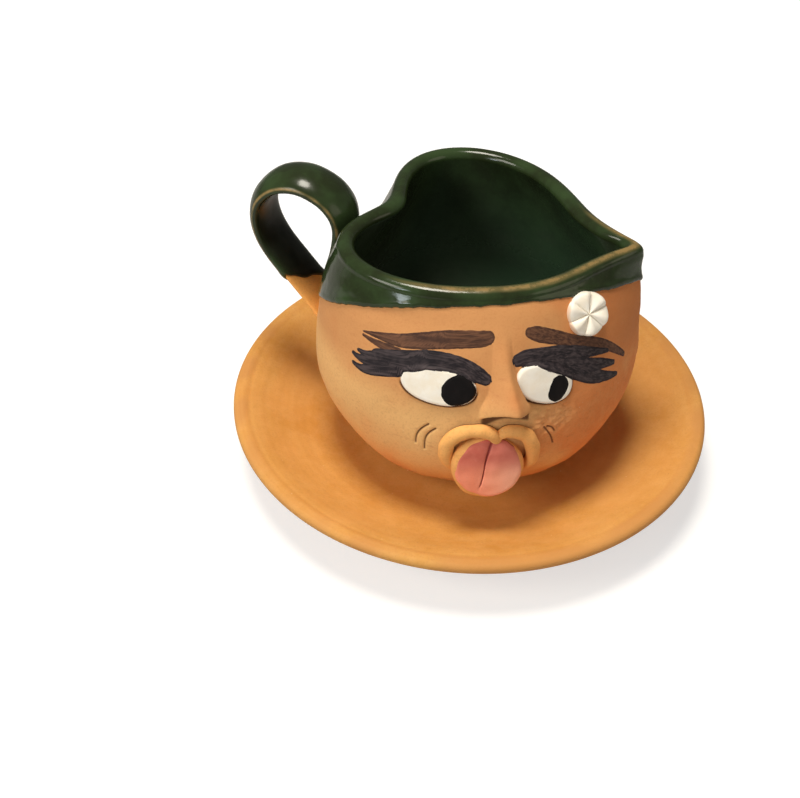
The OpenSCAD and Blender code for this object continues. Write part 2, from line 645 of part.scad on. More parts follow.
// Shares of the button's thickness in its rim, its creases and its middle, and of its radius
// that a petal stands out by
flower_rim_share = 0.45;
flower_crease_share = 0.35;
petal_share = 0.06;
edge_fall_share = 0.7;
edge_fall_late = 8;
flower_shares = [0.25, 0.5, 0.75, 0.93, 1];
flower_gap = coat + slip_gap;
flower_turn = [-0.1, -0.6, 0.2];
flower_normal = unit(wall_normal(flower_a, flower_z) + flower_turn);
flower_frame = frame_of(on_wall(flower_a, flower_z, flower_gap), flower_normal);
petal_round = 0.8;
function petal(a) = pow(abs(sin(petals / 2 * (a - crease_a))), petal_round);
function flower_point(a, share) = let (p = petal(a), r = flower_r * share * (1 - petal_share * (1 - p)),
        swell = share == 0 ? flower_crease_share : flower_crease_share + (1 - flower_crease_share) * p,
        kept = 1 - edge_fall_share * pow(share, edge_fall_late))
    disc_point(flower_frame, r * cos(a), r * sin(a),
        flower_t * (flower_rim_share + (1 - flower_rim_share) * kept * swell));
function flower_back(p) = to_wall(p, -flower_normal, flower_gap, wall_search);
module flower_button() {
    front = [for (s = flower_shares) [for (i = [0:disc_around - 1])
        flower_point(crease_a + 360 * i / disc_around, s)]];
    back = [for (ring = front) [for (p = ring) flower_back(p)]];
    middle = flower_point(0, 0);
    color(slip_white) on_saucer() skin(concat(back, reversed(front)), flower_back(middle), middle);
}

saucer();
cup_body();
cup_glaze();
strap_handle();
handle_glaze();
nose();
lip_roll();
tongue();
tongue_coat();
left_eye();
right_eye();
left_pupil();
right_pupil();
left_brow();
right_brow();
left_lashes();
right_lashes();
flower_button();
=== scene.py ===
import math

import bpy
import numpy as np
from mathutils import Matrix, Vector


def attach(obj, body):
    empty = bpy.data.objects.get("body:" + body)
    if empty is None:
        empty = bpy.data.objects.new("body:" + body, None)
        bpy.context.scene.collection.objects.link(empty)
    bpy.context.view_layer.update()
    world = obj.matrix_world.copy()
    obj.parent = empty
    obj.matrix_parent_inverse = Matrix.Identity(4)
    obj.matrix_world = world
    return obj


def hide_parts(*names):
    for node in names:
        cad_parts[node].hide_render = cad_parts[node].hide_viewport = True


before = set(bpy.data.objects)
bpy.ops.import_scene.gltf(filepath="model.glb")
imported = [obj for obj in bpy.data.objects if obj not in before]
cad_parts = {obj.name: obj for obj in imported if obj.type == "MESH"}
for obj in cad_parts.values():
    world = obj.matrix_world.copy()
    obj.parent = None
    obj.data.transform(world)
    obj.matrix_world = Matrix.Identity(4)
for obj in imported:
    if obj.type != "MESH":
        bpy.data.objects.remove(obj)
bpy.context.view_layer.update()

# Driving sizes, in millimetres and degrees, as in the construction model. Heights on the cup
# are counted from its foot, and the face looks along -Y.
MM = 0.001
SAUCER_R = 59.8
SAUCER_H = 15.4
SEAT_Z = 6
SEAT_R = 29
LIP_BAND_W = 4.6
LIP_BAND_RISE = 1.2
EDGE_T = 2.8
REST_R = 31
REST_W = 7
REST_HOLLOW = 1.2
REST_STEP = 1.6
UNDER_CURVE = 1.35
DISH_CURVE = 1.7
SOFT_BEND_W = 1.4

CUP_H = 58
CUP_X = 0.6
FOOT_R = 22.8
BELLY_R = 39
BELLY_Z = 25.5
NECK_R = 32.5
LOW_FULLNESS = 1.87
WALL_T = 3
BASE_T = 4.5
FLOOR_FILLET = 3
FOOT_RING_W = 4.2
FOOT_HOLLOW = 1.4

HEART_Z = 8
LOBE_R = 41.8
TIP_A, TIP_REACH, TIP_W, TIP_FULLNESS, TIP_ROUND_A = -13.4, 12.7, 14.4, 1.1, 1.5
NOTCH_A, NOTCH_PRESS, NOTCH_W = 143.4, 15.2, 30
FRONT_A, FRONT_PRESS, FRONT_W = 264.8, 17.7, 79.7
BACK_A, BACK_PRESS, BACK_W = 15.9, 14.2, 61

DIP_Z = 42.8
DIP_FRONT_SLOPE = 0.517
DIP_SIDE_SLOPE = 0.034
GLAZE_T = 0.45

HANDLE_A = 153.5
STRAP_W = 12
STRAP_T = 3.4
STRAP_EDGE_T = 1.8
LOOP_ROOT_R = 34.6
LOOP_REACH = 21.2
LOOP_LOW_Z = 25.5
LOOP_RISE = 35.6
LOOP_SHARES = [(0.14, 0.38), (0.06, 0.52), (0.01, 0.66), (0.005, 0.77), (0.066, 0.865),
               (0.22, 0.95), (0.48, 1), (0.74, 0.966), (0.934, 0.851), (1, 0.716),
               (0.962, 0.576), (0.835, 0.435), (0.6, 0.267), (0.387, 0.126), (0.19, 0)]
NEAR_GLAZE_SHARE = 0.845
FAR_GLAZE_SHARE = 0.935

LIP_H = WALL_T / 2
LIP_Z = CUP_H - LIP_H
STEP_A = 0.5
STEP_Z = CUP_H / 120
SLOPE_A = 5
FACE_A = 270
FACE_HALF_A = 62


# Small maths

def smooth(x):
    """0 below 0, 1 above 1 and an S curve between."""
    x = np.clip(x, 0, 1)
    return x * x * (3 - 2 * x)


def round_in(x):
    """Quarter circle that rises from 0 at 0 to 1 at 1."""
    return np.sqrt(1 - (1 - np.clip(x, 0, 1)) ** 2)


def hump(x, middle, width):
    return np.exp(-((x - middle) / width) ** 2)


def turn(a, b):
    return (a - b + 540) % 360 - 180


def lumps(points, size, seed, waves=14):
    """Smooth random field, about -1 to 1, with lumps of a size in mm."""
    random = np.random.RandomState(seed)
    total = np.zeros(points.shape[:-1])
    for _ in range(waves):
        way = random.normal(size=3)
        way *= 2 * math.pi / size * random.uniform(0.7, 1.4) / np.linalg.norm(way)
        total += np.sin(points @ way + random.uniform(0, 2 * math.pi))
    return total / math.sqrt(waves)


def waves(points, rows):
    """Sum of lumps over points, from rows of (height, size, seed)."""
    return sum(height * lumps(points, size, seed) for height, size, seed in rows)


def curve_through(points, count):
    """Catmull-Rom curve through rows of numbers, as count rows."""
    p = np.array(points, float)
    last = len(p) - 1
    t = np.linspace(0, last, count)
    i = np.minimum(t.astype(int), last - 1)
    f = (t - i)[:, None]
    a, b, c, d = p[np.maximum(i - 1, 0)], p[i], p[i + 1], p[np.minimum(i + 2, last)]
    return 0.5 * (2 * b + (c - a) * f + (2 * a - 5 * b + 4 * c - d) * f ** 2
                  + (3 * b - a - 3 * c + d) * f ** 3)


def smooth_table(x, rows):
    """Values at x of a smooth curve through rows of (x, value, ...)."""
    fine = curve_through(sorted(rows), 40 * len(rows))
    return [np.interp(x, fine[:, 0], fine[:, k]) for k in range(1, fine.shape[1])]


# The pot's outer wall

def bell(a, middle, width, power):
    return np.exp(-(np.sqrt(turn(a, middle) ** 2 + TIP_ROUND_A ** 2) / width) ** power)


def rim_r(a):
    return (LOBE_R + TIP_REACH * bell(a, TIP_A, TIP_W, TIP_FULLNESS)
            - NOTCH_PRESS * bell(a, NOTCH_A, NOTCH_W, 2) - FRONT_PRESS * bell(a, FRONT_A, FRONT_W, 2)
            - BACK_PRESS * bell(a, BACK_A, BACK_W, 2))


LOW_Z = BELLY_Z / (1 - (FOOT_R / BELLY_R) ** LOW_FULLNESS) ** (1 / LOW_FULLNESS)
HIGH_Z = (CUP_H - BELLY_Z) / math.sqrt(1 - (NECK_R / BELLY_R) ** 2)


def round_r(z):
    low = np.clip((BELLY_Z - z) / LOW_Z, 0, 1)
    high = np.clip((z - BELLY_Z) / HIGH_Z, 0, 1)
    below = (1 - low ** LOW_FULLNESS) ** (1 / LOW_FULLNESS)
    return BELLY_R * np.where(z < BELLY_Z, below, np.sqrt(1 - high ** 2))


def wall_r(a, z):
    heart = (np.maximum(0, z - HEART_Z) / (CUP_H - HEART_Z)) ** 2
    return round_r(np.maximum(z, 0)) + heart * (rim_r(a) - NECK_R)


def polar(a, r, z):
    a = np.radians(a)
    return np.stack(np.broadcast_arrays(r * np.cos(a), r * np.sin(a), z), -1).astype(float)


def outside(a, z):
    return polar(a, wall_r(a, z), z)


def unit(v):
    return v / np.linalg.norm(v, axis=-1, keepdims=True)


def wall_normal(a, z):
    around = outside(a + STEP_A, z) - outside(a - STEP_A, z)
    return unit(np.cross(around, outside(a, z + STEP_Z) - outside(a, z - STEP_Z)))


def on_wall(a, z, h):
    return outside(a, z) + np.asarray(h)[..., None] * wall_normal(a, z)


def wall_depth(a, z):
    r = wall_r(a, z)
    arc = r * math.radians(SLOPE_A)
    around = ((wall_r(a + SLOPE_A, z) - r) ** 2 + (r - wall_r(a - SLOPE_A, z)) ** 2) / 2 / arc ** 2
    up = ((wall_r(a, z + STEP_Z) - wall_r(a, z - STEP_Z)) / (2 * STEP_Z)) ** 2
    return WALL_T * np.sqrt(1 + around + up)


# Height, size and seed of the small waves that dipping leaves in the glaze line
DIP_WAVES = [(0.16, 9, 3), (0.07, 2.2, 4), (0.05, 0.9, 5)]
DIP_STEPS = 20


def dip_line(a):
    """Height of the glaze line, found by steps because the wall slopes."""
    z = np.full_like(a, DIP_Z, dtype=float)
    for _ in range(DIP_STEPS):
        p = outside(a, z)
        z = (z + DIP_Z - DIP_FRONT_SLOPE * p[..., 1] + DIP_SIDE_SLOPE * p[..., 0]) / 2
    return np.minimum(z + waves(outside(a, z), DIP_WAVES), LIP_Z - LIP_H / 2)


# The face, as heights off the wall. Strokes and outlines are drawn in degrees round the cup
# and millimetres above its foot, and a stroke's third number is half its width.

NOSE_A = 272
NOSE_BASE_Z = 34.5
# Height on the cup, rise, reach left, reach right, shift to the right and roundness of the ridge
NOSE = [(56, 0, 2.4, 1.9, -0.6, 0.9), (51, 0.12, 2.4, 1.9, -0.5, 0.8), (48, 0.5, 2.6, 1.8, -0.2, 0.6),
        (45, 1.2, 3, 1.8, 0.1, 0.42), (42, 2, 3.7, 2.1, 0.5, 0.34), (40, 3, 4.4, 2.5, 0.8, 0.28),
        (38, 4.2, 5.4, 3, 1.2, 0.24), (36.6, 5.2, 6.3, 3.6, 1.4, 0.22), (35.2, 5.7, 7.1, 4.2, 1.5, 0.22),
        (34, 5.5, 7.3, 4.5, 1.4, 0.22), (32, 5, 7.4, 4.6, 1.3, 0.25), (28, 4.4, 7.4, 4.6, 1.3, 0.3)]
EYES = {"left": dict(a=247.2, z=39.2, w=17.4, h=8.3, tilt=-3),
        "right": dict(a=287.3, z=39.1, w=14.2, h=8.6, tilt=-19)}
PUPILS = {"left": dict(a=254.9, z=39.2, w=8.2, h=7, tilt=24),
          "right": dict(a=291.9, z=37.7, w=4.8, h=6.4, tilt=-29)}
EYE_T = 0.75
EYE_SUNK = 0.25
EYE_EDGE_W = 0.8
OVAL_POWER = 2.25
GAP_DEPTH, GAP_OUT, GAP_W = 0.6, 0.14, 0.35
LINE_DEPTH, LINE_HALF_W = 0.42, 0.27
# Drop of the nose's lower edge at its left and right wing, and how far out a wing is
WING_DROPS, WING_OUT = (2.2, 1.2), 5.5
# Darkness of the painted shade in the crease under the nose
UNDER_NOSE_SHADE = 0.37
CHEEK_LINES = [[(245.5, 29.8), (243.1, 28.2), (241.7, 26.3), (241.5, 24.1)],
               [(248.1, 29), (246.2, 27.8), (244.9, 26), (244.8, 23)],
               [(286.6, 28.6), (288, 27.2), (289.3, 25.6), (290.2, 23.6)],
               [(287.8, 28.6), (289.4, 28.2), (290.6, 27)]]
BROWS = {
    "left": [
        [(213.9, 45.8, 0.15), (220.9, 46.4, 0.8), (229.5, 47, 1.45), (237.6, 48, 1.75), (246.6, 49, 1.85),
         (255.1, 49.4, 1.75), (262, 49.6, 1.6), (265, 49.8, 1.4)],
        [(214.4, 45, 0.3), (219, 44.7, 0.6), (224.4, 44.6, 0.9), (230, 44.3, 1.1)]],
    "right": [
        [(283.4, 50.1, 1.1), (287.8, 49.4, 1.6), (295.1, 48, 1.5), (302.4, 46.2, 1.35), (311.4, 43.9, 1.35),
         (318.9, 41.1, 1.25), (324.7, 38, 1), (328.8, 35.4, 0.7)]]}
LASHES = {
    "left": [
        [(222, 42, 1.6), (228, 42.6, 2.2), (234.4, 43.3, 2.3), (242.2, 44.5, 2.1), (249.5, 44.7, 1.8),
         (256.2, 44, 1.7), (261.2, 42.6, 1.7), (264.6, 41.5, 1.3)],
        [(214, 41.1, 0.45), (217, 41.1, 0.75), (221, 41.6, 1.2), (228, 42.5, 1.8)],
        [(211.8, 39.7, 0.45), (215, 39.5, 0.8), (219, 40, 1.3), (227, 41.5, 2)],
        [(212.8, 37.5, 0.45), (216.5, 37.4, 0.8), (221, 38.3, 1.4), (231, 40.8, 1.8)]],
    "right": [
        [(277, 45, 1.3), (281.2, 45.4, 1.6), (288.3, 45.2, 1.6), (295.7, 44.7, 1.6), (303.3, 43.6, 1.5),
         (311.5, 41.8, 1.1), (318.8, 40, 0.6)],
        [(299.4, 41.3, 1.4), (306.2, 40, 1.5), (313.7, 38.2, 1.3), (320.9, 36.2, 0.6)],
        [(287.1, 44, 1.5), (293.1, 42.6, 1.8), (300, 40, 1.9), (307.4, 37, 1.8), (315.2, 34.6, 1.2),
         (321.6, 32.9, 0.55)]]}


def flat_place(a, z, middle_a, middle_z):
    """Distances to the right of and above a place on the wall."""
    return np.radians(turn(a, middle_a)) * wall_r(middle_a, z), z - middle_z


def oval_depth(a, z, shape):
    """How far a point lies inside a tilted oval, negative outside it."""
    u, v = flat_place(a, z, shape["a"], shape["z"])
    t = math.radians(shape["tilt"])
    x = (u * math.cos(t) + v * math.sin(t)) / (shape["w"] / 2)
    y = (v * math.cos(t) - u * math.sin(t)) / (shape["h"] / 2)
    out = (np.abs(x) ** OVAL_POWER + np.abs(y) ** OVAL_POWER) ** (1 / OVAL_POWER) + 1e-9
    slope = np.sqrt((x / (shape["w"] / 2)) ** 2 + (y / (shape["h"] / 2)) ** 2) / (np.hypot(x, y) + 1e-9)
    return (1 - out) / slope


def stroke_places(a, z, strokes):
    """Depth of a point in the nearest stroke, its distance along it and to its side."""
    best, along, beside = np.full(z.shape, -99.0), np.zeros(z.shape), np.zeros(z.shape)
    for number, stroke in enumerate(strokes):
        line = curve_through([s if len(s) == 3 else (*s, 0) for s in stroke], 24 * len(stroke))
        turns = np.radians(line[:, 0]) * wall_r(line[:, 0], line[:, 1])
        ways = unit(np.stack([np.gradient(turns), np.gradient(line[:, 1])], -1))
        gone = np.concatenate([[0], np.cumsum(np.hypot(np.diff(turns), np.diff(line[:, 1])))])
        for (spot_a, spot_z, half), way, far in zip(line, ways, gone):
            u, v = flat_place(a, z, spot_a, spot_z)
            inside = half - np.hypot(u, v)
            closer = inside > best
            best = np.where(closer, inside, best)
            along = np.where(closer, far + 40 * number + u * way[0] + v * way[1], along)
            beside = np.where(closer, v * way[0] - u * way[1], beside)
    return best, along, beside


def eye_height(a, z, side, spread=0.0):
    """Height of an eye's top off the wall, for an eye wider by spread."""
    edge = round_in((oval_depth(a, z, EYES[side]) + spread) / EYE_EDGE_W)
    return (EYE_T + EYE_SUNK) * edge - EYE_SUNK


def nose_shape(a, z):
    """Rise of the nose at its ridge, share across and height over its lower edge."""
    rise, left, right, shift, ridge = smooth_table(z, NOSE)
    u, _ = flat_place(a, z, NOSE_A, NOSE_BASE_Z)
    x = np.where(u < shift, (u - shift) / left, (u - shift) / right)
    across = np.clip((np.hypot(1, ridge) - np.hypot(x, ridge)) / (np.hypot(1, ridge) - ridge), 0, 1)
    across = across ** 0.9 * smooth(across / 0.12)
    base = NOSE_BASE_Z - np.where(u < 0, *WING_DROPS) * np.abs(u / WING_OUT) ** 1.5
    return rise, across, z - base


def nose_height(a, z):
    rise, across, over = nose_shape(a, z)
    return rise * across * smooth(over / 0.7)


def under_nose_shade(a, z):
    """How dark the painted shade in the crease under the nose is."""
    _, across, over = nose_shape(a, z)
    below = smooth((over + 2.6) / 1.2) * smooth((0.45 - over) / 0.5)
    return UNDER_NOSE_SHADE * smooth(across / 0.25) * below


def groove_depth(a, z):
    """Depth of the gaps round the eyes and of the cheek lines."""
    cut = np.zeros(z.shape)
    for shape in EYES.values():
        low = smooth((shape["z"] - z + 0.4) / 2.4)
        gap = GAP_DEPTH * hump(-oval_depth(a, z, shape), GAP_OUT, GAP_W)
        cut = np.maximum(cut, low * gap)
    cut *= 1 - smooth((nose_height(a, z) - 0.4) / 1.2)
    return np.maximum(cut, LINE_DEPTH * hump(stroke_places(a, z, CHEEK_LINES)[0], 0, LINE_HALF_W))


SCRAPE_A, SCRAPE_Z, SCRAPE_W, SCRAPE_H, SCRAPE_DEPTH = 289.5, 30.5, 5.5, 3.8, 0.15
# Height, size and seed of the waves in the hand-worked wall and in the scraped patch
WALL_WAVES = [(0.22, 24, 11), (0.05, 7, 12), (0.012, 1.6, 15)]
SCRAPE_WAVES = [(0.2, 1.7, 13), (0.13, 1.1, 14)]
# The hollow below the rim's tip, and the ridge beside the notch for the handle
TIP_HOLLOW, TIP_HOLLOW_W, TIP_HOLLOW_Z = 1.1, 10, 28
RIDGE_A, RIDGE_RISE, RIDGE_W, RIDGE_Z = 169, 0.7, 1.3, 43


def scraped_share(a, z):
    """Where the right cheek was scraped."""
    u, v = flat_place(a, z, SCRAPE_A, SCRAPE_Z)
    return np.exp(-(u / SCRAPE_W) ** 2 - (v / SCRAPE_H) ** 2)


def relief(a, z):
    """Height of the worked clay off the plain wall. It fades out at foot and rim."""
    p = outside(a, z)
    h = waves(p, WALL_WAVES) + scraped_share(a, z) * (waves(p, SCRAPE_WAVES) - SCRAPE_DEPTH)
    below_rim = smooth((z - TIP_HOLLOW_Z) / 12) * smooth((CUP_H - z) / 4)
    h -= TIP_HOLLOW * hump(turn(a, TIP_A), 0, TIP_HOLLOW_W) * below_rim
    h += RIDGE_RISE * hump(turn(a, RIDGE_A), 0, RIDGE_W) * smooth((z - RIDGE_Z) / 6)
    return h * (1 - smooth((z - LIP_Z + 5) / 5)) * smooth(z / 3)


def near_face(a):
    return np.abs(turn(a, FACE_A)) < FACE_HALF_A


def face_height(a, z):
    """The worked clay with the nose raised and the grooves sunk in."""
    near = near_face(a)
    h = relief(a, z)
    h[near] += nose_height(a[near], z[near]) - groove_depth(a[near], z[near])
    return h


# Mesh building

def ring_quads(rows, nexts, around):
    """Quads between rings of points, from where each ring and its next one start."""
    i = np.arange(around)
    j = (i + 1) % around
    k, n = rows[:, None], nexts[:, None]
    return np.stack([k + i, k + j, n + j, n + i], -1).reshape(-1, 4).tolist()


def volume(points, faces):
    """Six times the volume in triangles and quads, below 0 where they face inward."""
    corners = np.array([(list(f) + [f[-1]])[:4] for f in faces])
    a, b, c, d = (points[corners[:, k]] for k in range(4))
    return np.einsum("ij,ij->", a, np.cross(b, c) + np.cross(c, d))


def put(name, data):
    """A new object in the scene."""
    piece = bpy.data.objects.new(name, data)
    bpy.context.scene.collection.objects.link(piece)
    return piece


def add_piece(name, parts, material, nodes, body="cup"):
    """One object from (points in mm, faces, {attribute: values}) parts."""
    points, faces, values, start = [], [], {}, 0
    for p, f, extra in parts:
        f = f if volume(p, f) > 0 else [g[::-1] for g in f]
        points.append(p)
        faces += [[i + start for i in g] for g in f]
        for key, v in extra.items():
            values.setdefault(key, []).append(v)
        start += len(p)
    points = np.concatenate(points)
    if body == "cup":
        points = points + np.array([CUP_X, 0, SEAT_Z])
    mesh = bpy.data.meshes.new(name)
    mesh.from_pydata((points * MM).tolist(), [], faces)
    for key, v in values.items():
        mesh.attributes.new(key, "FLOAT", "POINT").data.foreach_set("value", np.concatenate(v))
    mesh.shade_smooth()
    mesh.materials.append(material)
    piece = put(name, mesh)
    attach(piece, body)
    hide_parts(*nodes)


def skin(rings, first, last, **values):
    """A closed part from rings of points and two end points."""
    rows, around = rings.shape[:2]
    points = np.concatenate([[first], rings.reshape(-1, 3), [last]])
    extra = {k: np.concatenate([[v[0].mean()], v.ravel(), [v[-1].mean()]]) for k, v in values.items()}
    starts = np.arange(rows - 1) * around + 1
    last, end = starts[-1] + around, rows * around + 1
    i = np.arange(around)
    j = (i + 1) % around
    fans = np.concatenate([np.stack([0 * i, 1 + j, 1 + i], -1),
                           np.stack([0 * i + end, last + i, last + j], -1)])
    return points, ring_quads(starts, starts + around, around) + fans.tolist(), extra


def capped(rings, **values):
    """A skin that ends at the middles of its first and last ring."""
    return skin(rings, rings[0].mean(0), rings[-1].mean(0), **values)


def sleeve(rings, **values):
    """A closed part from rings of points that come back to the first."""
    rows, around = rings.shape[:2]
    starts = np.arange(rows) * around
    faces = ring_quads(starts, np.roll(starts, -1), around)
    return rings.reshape(-1, 3), faces, {key: v.ravel() for key, v in values.items()}


def patch(a_range, z_range, step, depth, height, sunk, **values):
    """A thin layer on the wall where depth(a, z) is over 0. Its ragged edge lies below the clay."""
    radius = float(wall_r(sum(a_range) / 2, sum(z_range) / 2))
    wide = int(math.radians(a_range[1] - a_range[0]) * radius / step)
    a, z = np.meshgrid(np.linspace(*a_range, wide),
                       np.linspace(*z_range, int((z_range[1] - z_range[0]) / step)))
    inside = depth(a, z)
    used = inside > -step
    cells = used[:-1, :-1] & used[1:, :-1] & used[:-1, 1:] & used[1:, 1:]
    top = height(a, z, inside)
    points = np.concatenate([on_wall(a, z, top).reshape(-1, 3),
                             on_wall(a, z, np.minimum(top - 0.1, -sunk)).reshape(-1, 3)])
    cols, count = a.shape[1], a.size
    index = np.arange(count).reshape(a.shape)
    r, c = np.nonzero(cells)
    base = index[r, c]
    quads = [np.stack([base, base + 1, base + cols + 1, base + cols], -1)]
    quads.append(quads[0][:, ::-1] + count)
    padded = np.pad(cells, 1)
    for dr, dc, one, two in ((-1, 0, 0, 1), (1, 0, cols + 1, cols), (0, -1, cols, 0), (0, 1, 1, cols + 1)):
        edge = ~padded[r + 1 + dr, c + 1 + dc]
        e, f = base[edge] + one, base[edge] + two
        quads.append(np.stack([f, e, e + count, f + count], -1))
    quads = np.concatenate(quads)
    kept, fresh = np.unique(quads, return_inverse=True)
    extra = {k: np.tile(v(a, z, inside).ravel(), 2)[kept] for k, v in values.items()}
    return points[kept], fresh.reshape(quads.shape).tolist(), extra


# Materials. Texture coordinates are the object's own, in millimetres.

# Colours in sRGB, as plain light shows them
PALETTE = {
    "sand": (238, 184, 120), "grit": (168, 102, 56), "straw": (240, 210, 160), "umber": (110, 60, 34),
    "wall_pale": (235, 184, 120), "wall_deep": (226, 137, 76), "forehead": (198, 127, 75),
    "low": (212, 130, 70), "foot": (176, 90, 46), "scuff": (196, 124, 78), "scraped": (232, 164, 108),
    "cut": (70, 30, 16), "handle_pale": (250, 184, 100), "handle_deep": (244, 168, 84),
    "lip_pale": (242, 178, 102), "lip_deep": (232, 156, 84), "crease": (88, 44, 20),
    "saucer_pale": (216, 157, 80), "saucer_deep": (206, 143, 63), "turning": (208, 128, 56),
    "cloud": (232, 168, 96), "band": (204, 142, 78), "bottle": (38, 46, 25), "moss": (51, 68, 39),
    "leaf": (56, 76, 42), "reflection_grey": (88, 96, 86), "tan": (108, 97, 60), "gold": (150, 122, 74),
    "cup_left": (64, 66, 54), "cup_right": (60, 90, 68), "loop_left": (38, 35, 27),
    "loop_right": (38, 44, 30), "white": (254, 248, 236), "cream": (250, 240, 222), "oat": (228, 210, 182),
    "worn": (214, 164, 116), "salmon": (255, 156, 124), "pink": (255, 184, 154), "top_shadow_red": (188, 82, 72),
    "blush": (240, 160, 136), "brick": (206, 104, 84), "groove": (140, 46, 42), "black": (14, 11, 12),
    "black_thin": (30, 24, 24), "lash": (36, 32, 36), "lash_thin": (80, 70, 72), "brow": (68, 47, 39),
    "brow_thin": (116, 80, 60)}


def srgb(name):
    """A palette colour as Blender's linear values."""
    return tuple(((c / 255 + 0.055) / 1.055) ** 2.4 if c > 10 else c / 255 / 12.92
                 for c in PALETTE[name]) + (1,)


def add_node(tree, kind, inputs=(), **settings):
    node = tree.nodes.new(kind)
    for key, value in settings.items():
        setattr(node, key, value)
    fill(tree, node, dict(inputs))
    return node


def fill(tree, node, inputs):
    """Links or sets a node's inputs."""
    for key, value in inputs.items():
        if isinstance(value, bpy.types.NodeSocket):
            tree.links.new(value, node.inputs[key])
        else:
            node.inputs[key].default_value = value


class Nodes:
    """Short names for the shader nodes that the materials use."""

    def __init__(self, name):
        self.material = bpy.data.materials.new(name)
        self.material.use_nodes = True
        self.tree = self.material.node_tree
        place = self.add("ShaderNodeTexCoord")
        self.mm = self.add("ShaderNodeVectorMath", {0: place.outputs["Object"], "Scale": 1 / MM},
                           operation="SCALE").outputs[0]

    def add(self, kind, inputs=(), **settings):
        return add_node(self.tree, kind, inputs, **settings)

    def noise(self, size, detail=3, rough=0.55, at=None, distortion=0.0):
        inputs = {"Vector": at or self.mm, "Scale": 1 / size, "Detail": detail, "Roughness": rough,
                  "Distortion": distortion}
        return self.add("ShaderNodeTexNoise", inputs).outputs[0]

    def cells(self, size, at=None):
        return self.add("ShaderNodeTexVoronoi", {"Vector": at or self.mm, "Scale": 1 / size}).outputs[0]

    def value(self, name):
        return self.add("ShaderNodeAttribute", attribute_name=name).outputs["Fac"]

    def step(self, x, low, high, to_low=0.0, to_high=1.0):
        inputs = {"Value": x, "From Min": low, "From Max": high, "To Min": to_low, "To Max": to_high}
        return self.add("ShaderNodeMapRange", inputs, interpolation_type="SMOOTHSTEP").outputs[0]

    def maths(self, operation, a, b=0.0):
        return self.add("ShaderNodeMath", {0: a, 1: b}, operation=operation).outputs[0]

    def mix(self, share, a, b):
        return self.add("ShaderNodeMix", {0: share, 6: a, 7: b}, data_type="RGBA").outputs[2]

    def tint(self, colour, *rows):
        """Colour with shares of palette colours, which grow as x goes from low to high."""
        for x, low, high, share, name in rows:
            colour = self.mix(self.step(x, low, high, 0, share), colour, srgb(name))
        return colour

    def stretch(self, x, y, z):
        return self.add("ShaderNodeVectorMath", {0: self.mm, 1: (x, y, z)}, operation="MULTIPLY").outputs[0]

    def place(self):
        return self.add("ShaderNodeSeparateXYZ", {0: self.mm}).outputs

    def bump(self, height, depth, under=None):
        inputs = {"Height": height, "Distance": depth * MM, "Strength": 1.0}
        if under:
            inputs["Normal"] = under
        return self.add("ShaderNodeBump", inputs).outputs[0]

    def finish(self, colour, roughness, normal, specular, **sockets):
        sockets.update({"Base Color": colour, "Roughness": roughness, "Specular IOR Level": specular})
        if normal:
            sockets["Normal"] = normal
        fill(self.tree, self.tree.nodes["Principled BSDF"], sockets)
        return self.material


def clay_colour(n, kind, painted_shade=0.0):
    """Fired clay: two tones in soft patches, sand grain, and pale and dark specks. Painted shade, where
    given, raises the share of the deeper tone.
    """
    tone = n.tint(srgb(kind + "_pale"),
                  (n.maths("ADD", n.noise(16, 2), painted_shade), 0.3, 0.75, 1, kind + "_deep"),
                  (n.noise(2.6, 4, 0.65), 0.35, 0.7, 0.18, "sand"),
                  (n.noise(0.5, 2), 0.45, 0.75, 0.2, "grit"))
    specks = n.step(n.cells(2.9), 0.04, 0.08, 0.7, 0)
    specks = n.maths("MULTIPLY", specks, n.step(n.noise(5), 0.54, 0.64))
    dots = n.step(n.cells(2.1, n.stretch(1.3, 1.1, 1.2)), 0.05, 0.1, 0.4, 0)
    dots = n.maths("MULTIPLY", dots, n.step(n.noise(4, 2), 0.56, 0.64))
    return n.mix(dots, n.mix(specks, tone, srgb("straw")), srgb("umber"))


def clay_bump(n, strength=1.0):
    grain = n.bump(n.noise(0.32, 3, 0.7), 0.035 * strength)
    return n.bump(n.noise(1.5, 3, 0.6), 0.05 * strength, grain)


def clay_material():
    """The pot's clay: darker at the forehead and towards the foot; the darkening to the right and the dark
    band at the foot are painted shade.
    """
    n = Nodes("clay_skin")
    x, _, z = n.place()
    streaks = n.step(n.noise(0.9, 3, 0.6, n.stretch(1, 1, 2)), 0.4, 0.6)
    # Painted shade: the wall takes more of its deeper tone towards the right side.
    colour = n.tint(clay_colour(n, "wall", n.step(x, -12, 36, -0.27, 0.3)),
                    # Painted shade: a dark band low on the wall, where the belly turns under towards the
                    # foot.
                    (z, 36, 46, 0.65, "forehead"), (z, 30, 8, 0.5, "low"), (z, 13, 5, 0.5, "foot"),
                    (n.noise(3.2, 4, 0.6, n.stretch(1, 1, 3)), 0.56, 0.72, 0.3, "scuff"),
                    (n.maths("MULTIPLY", n.value("scraped"), streaks), 0.1, 0.8, 0.6, "scraped"),
                    # Painted shade, dark in the grooves round the eyes, in the cheek lines and in the
                    # crease under the nose
                    (n.value("cut"), 0.1, 0.42, 0.92, "cut"))
    return n.finish(colour, 0.82, clay_bump(n), 0.3)


def handle_clay_material():
    n = Nodes("handle_clay_skin")
    return n.finish(clay_colour(n, "handle"), 0.8, clay_bump(n), 0.3)


def lip_material():
    n = Nodes("lip_clay_skin")
    # Painted shade, dark where the rolls meet the wall, at their ends and in the tongue's groove
    colour = n.tint(clay_colour(n, "lip"), (n.value("cut"), 0.1, 0.9, 0.9, "crease"))
    return n.finish(colour, 0.78, clay_bump(n, 0.8), 0.3)


def from_middle(n):
    """Distance from the upright axis, in millimetres."""
    x, y, _ = n.place()
    return n.maths("SQRT", n.maths("ADD", n.maths("MULTIPLY", x, x), n.maths("MULTIPLY", y, y)))


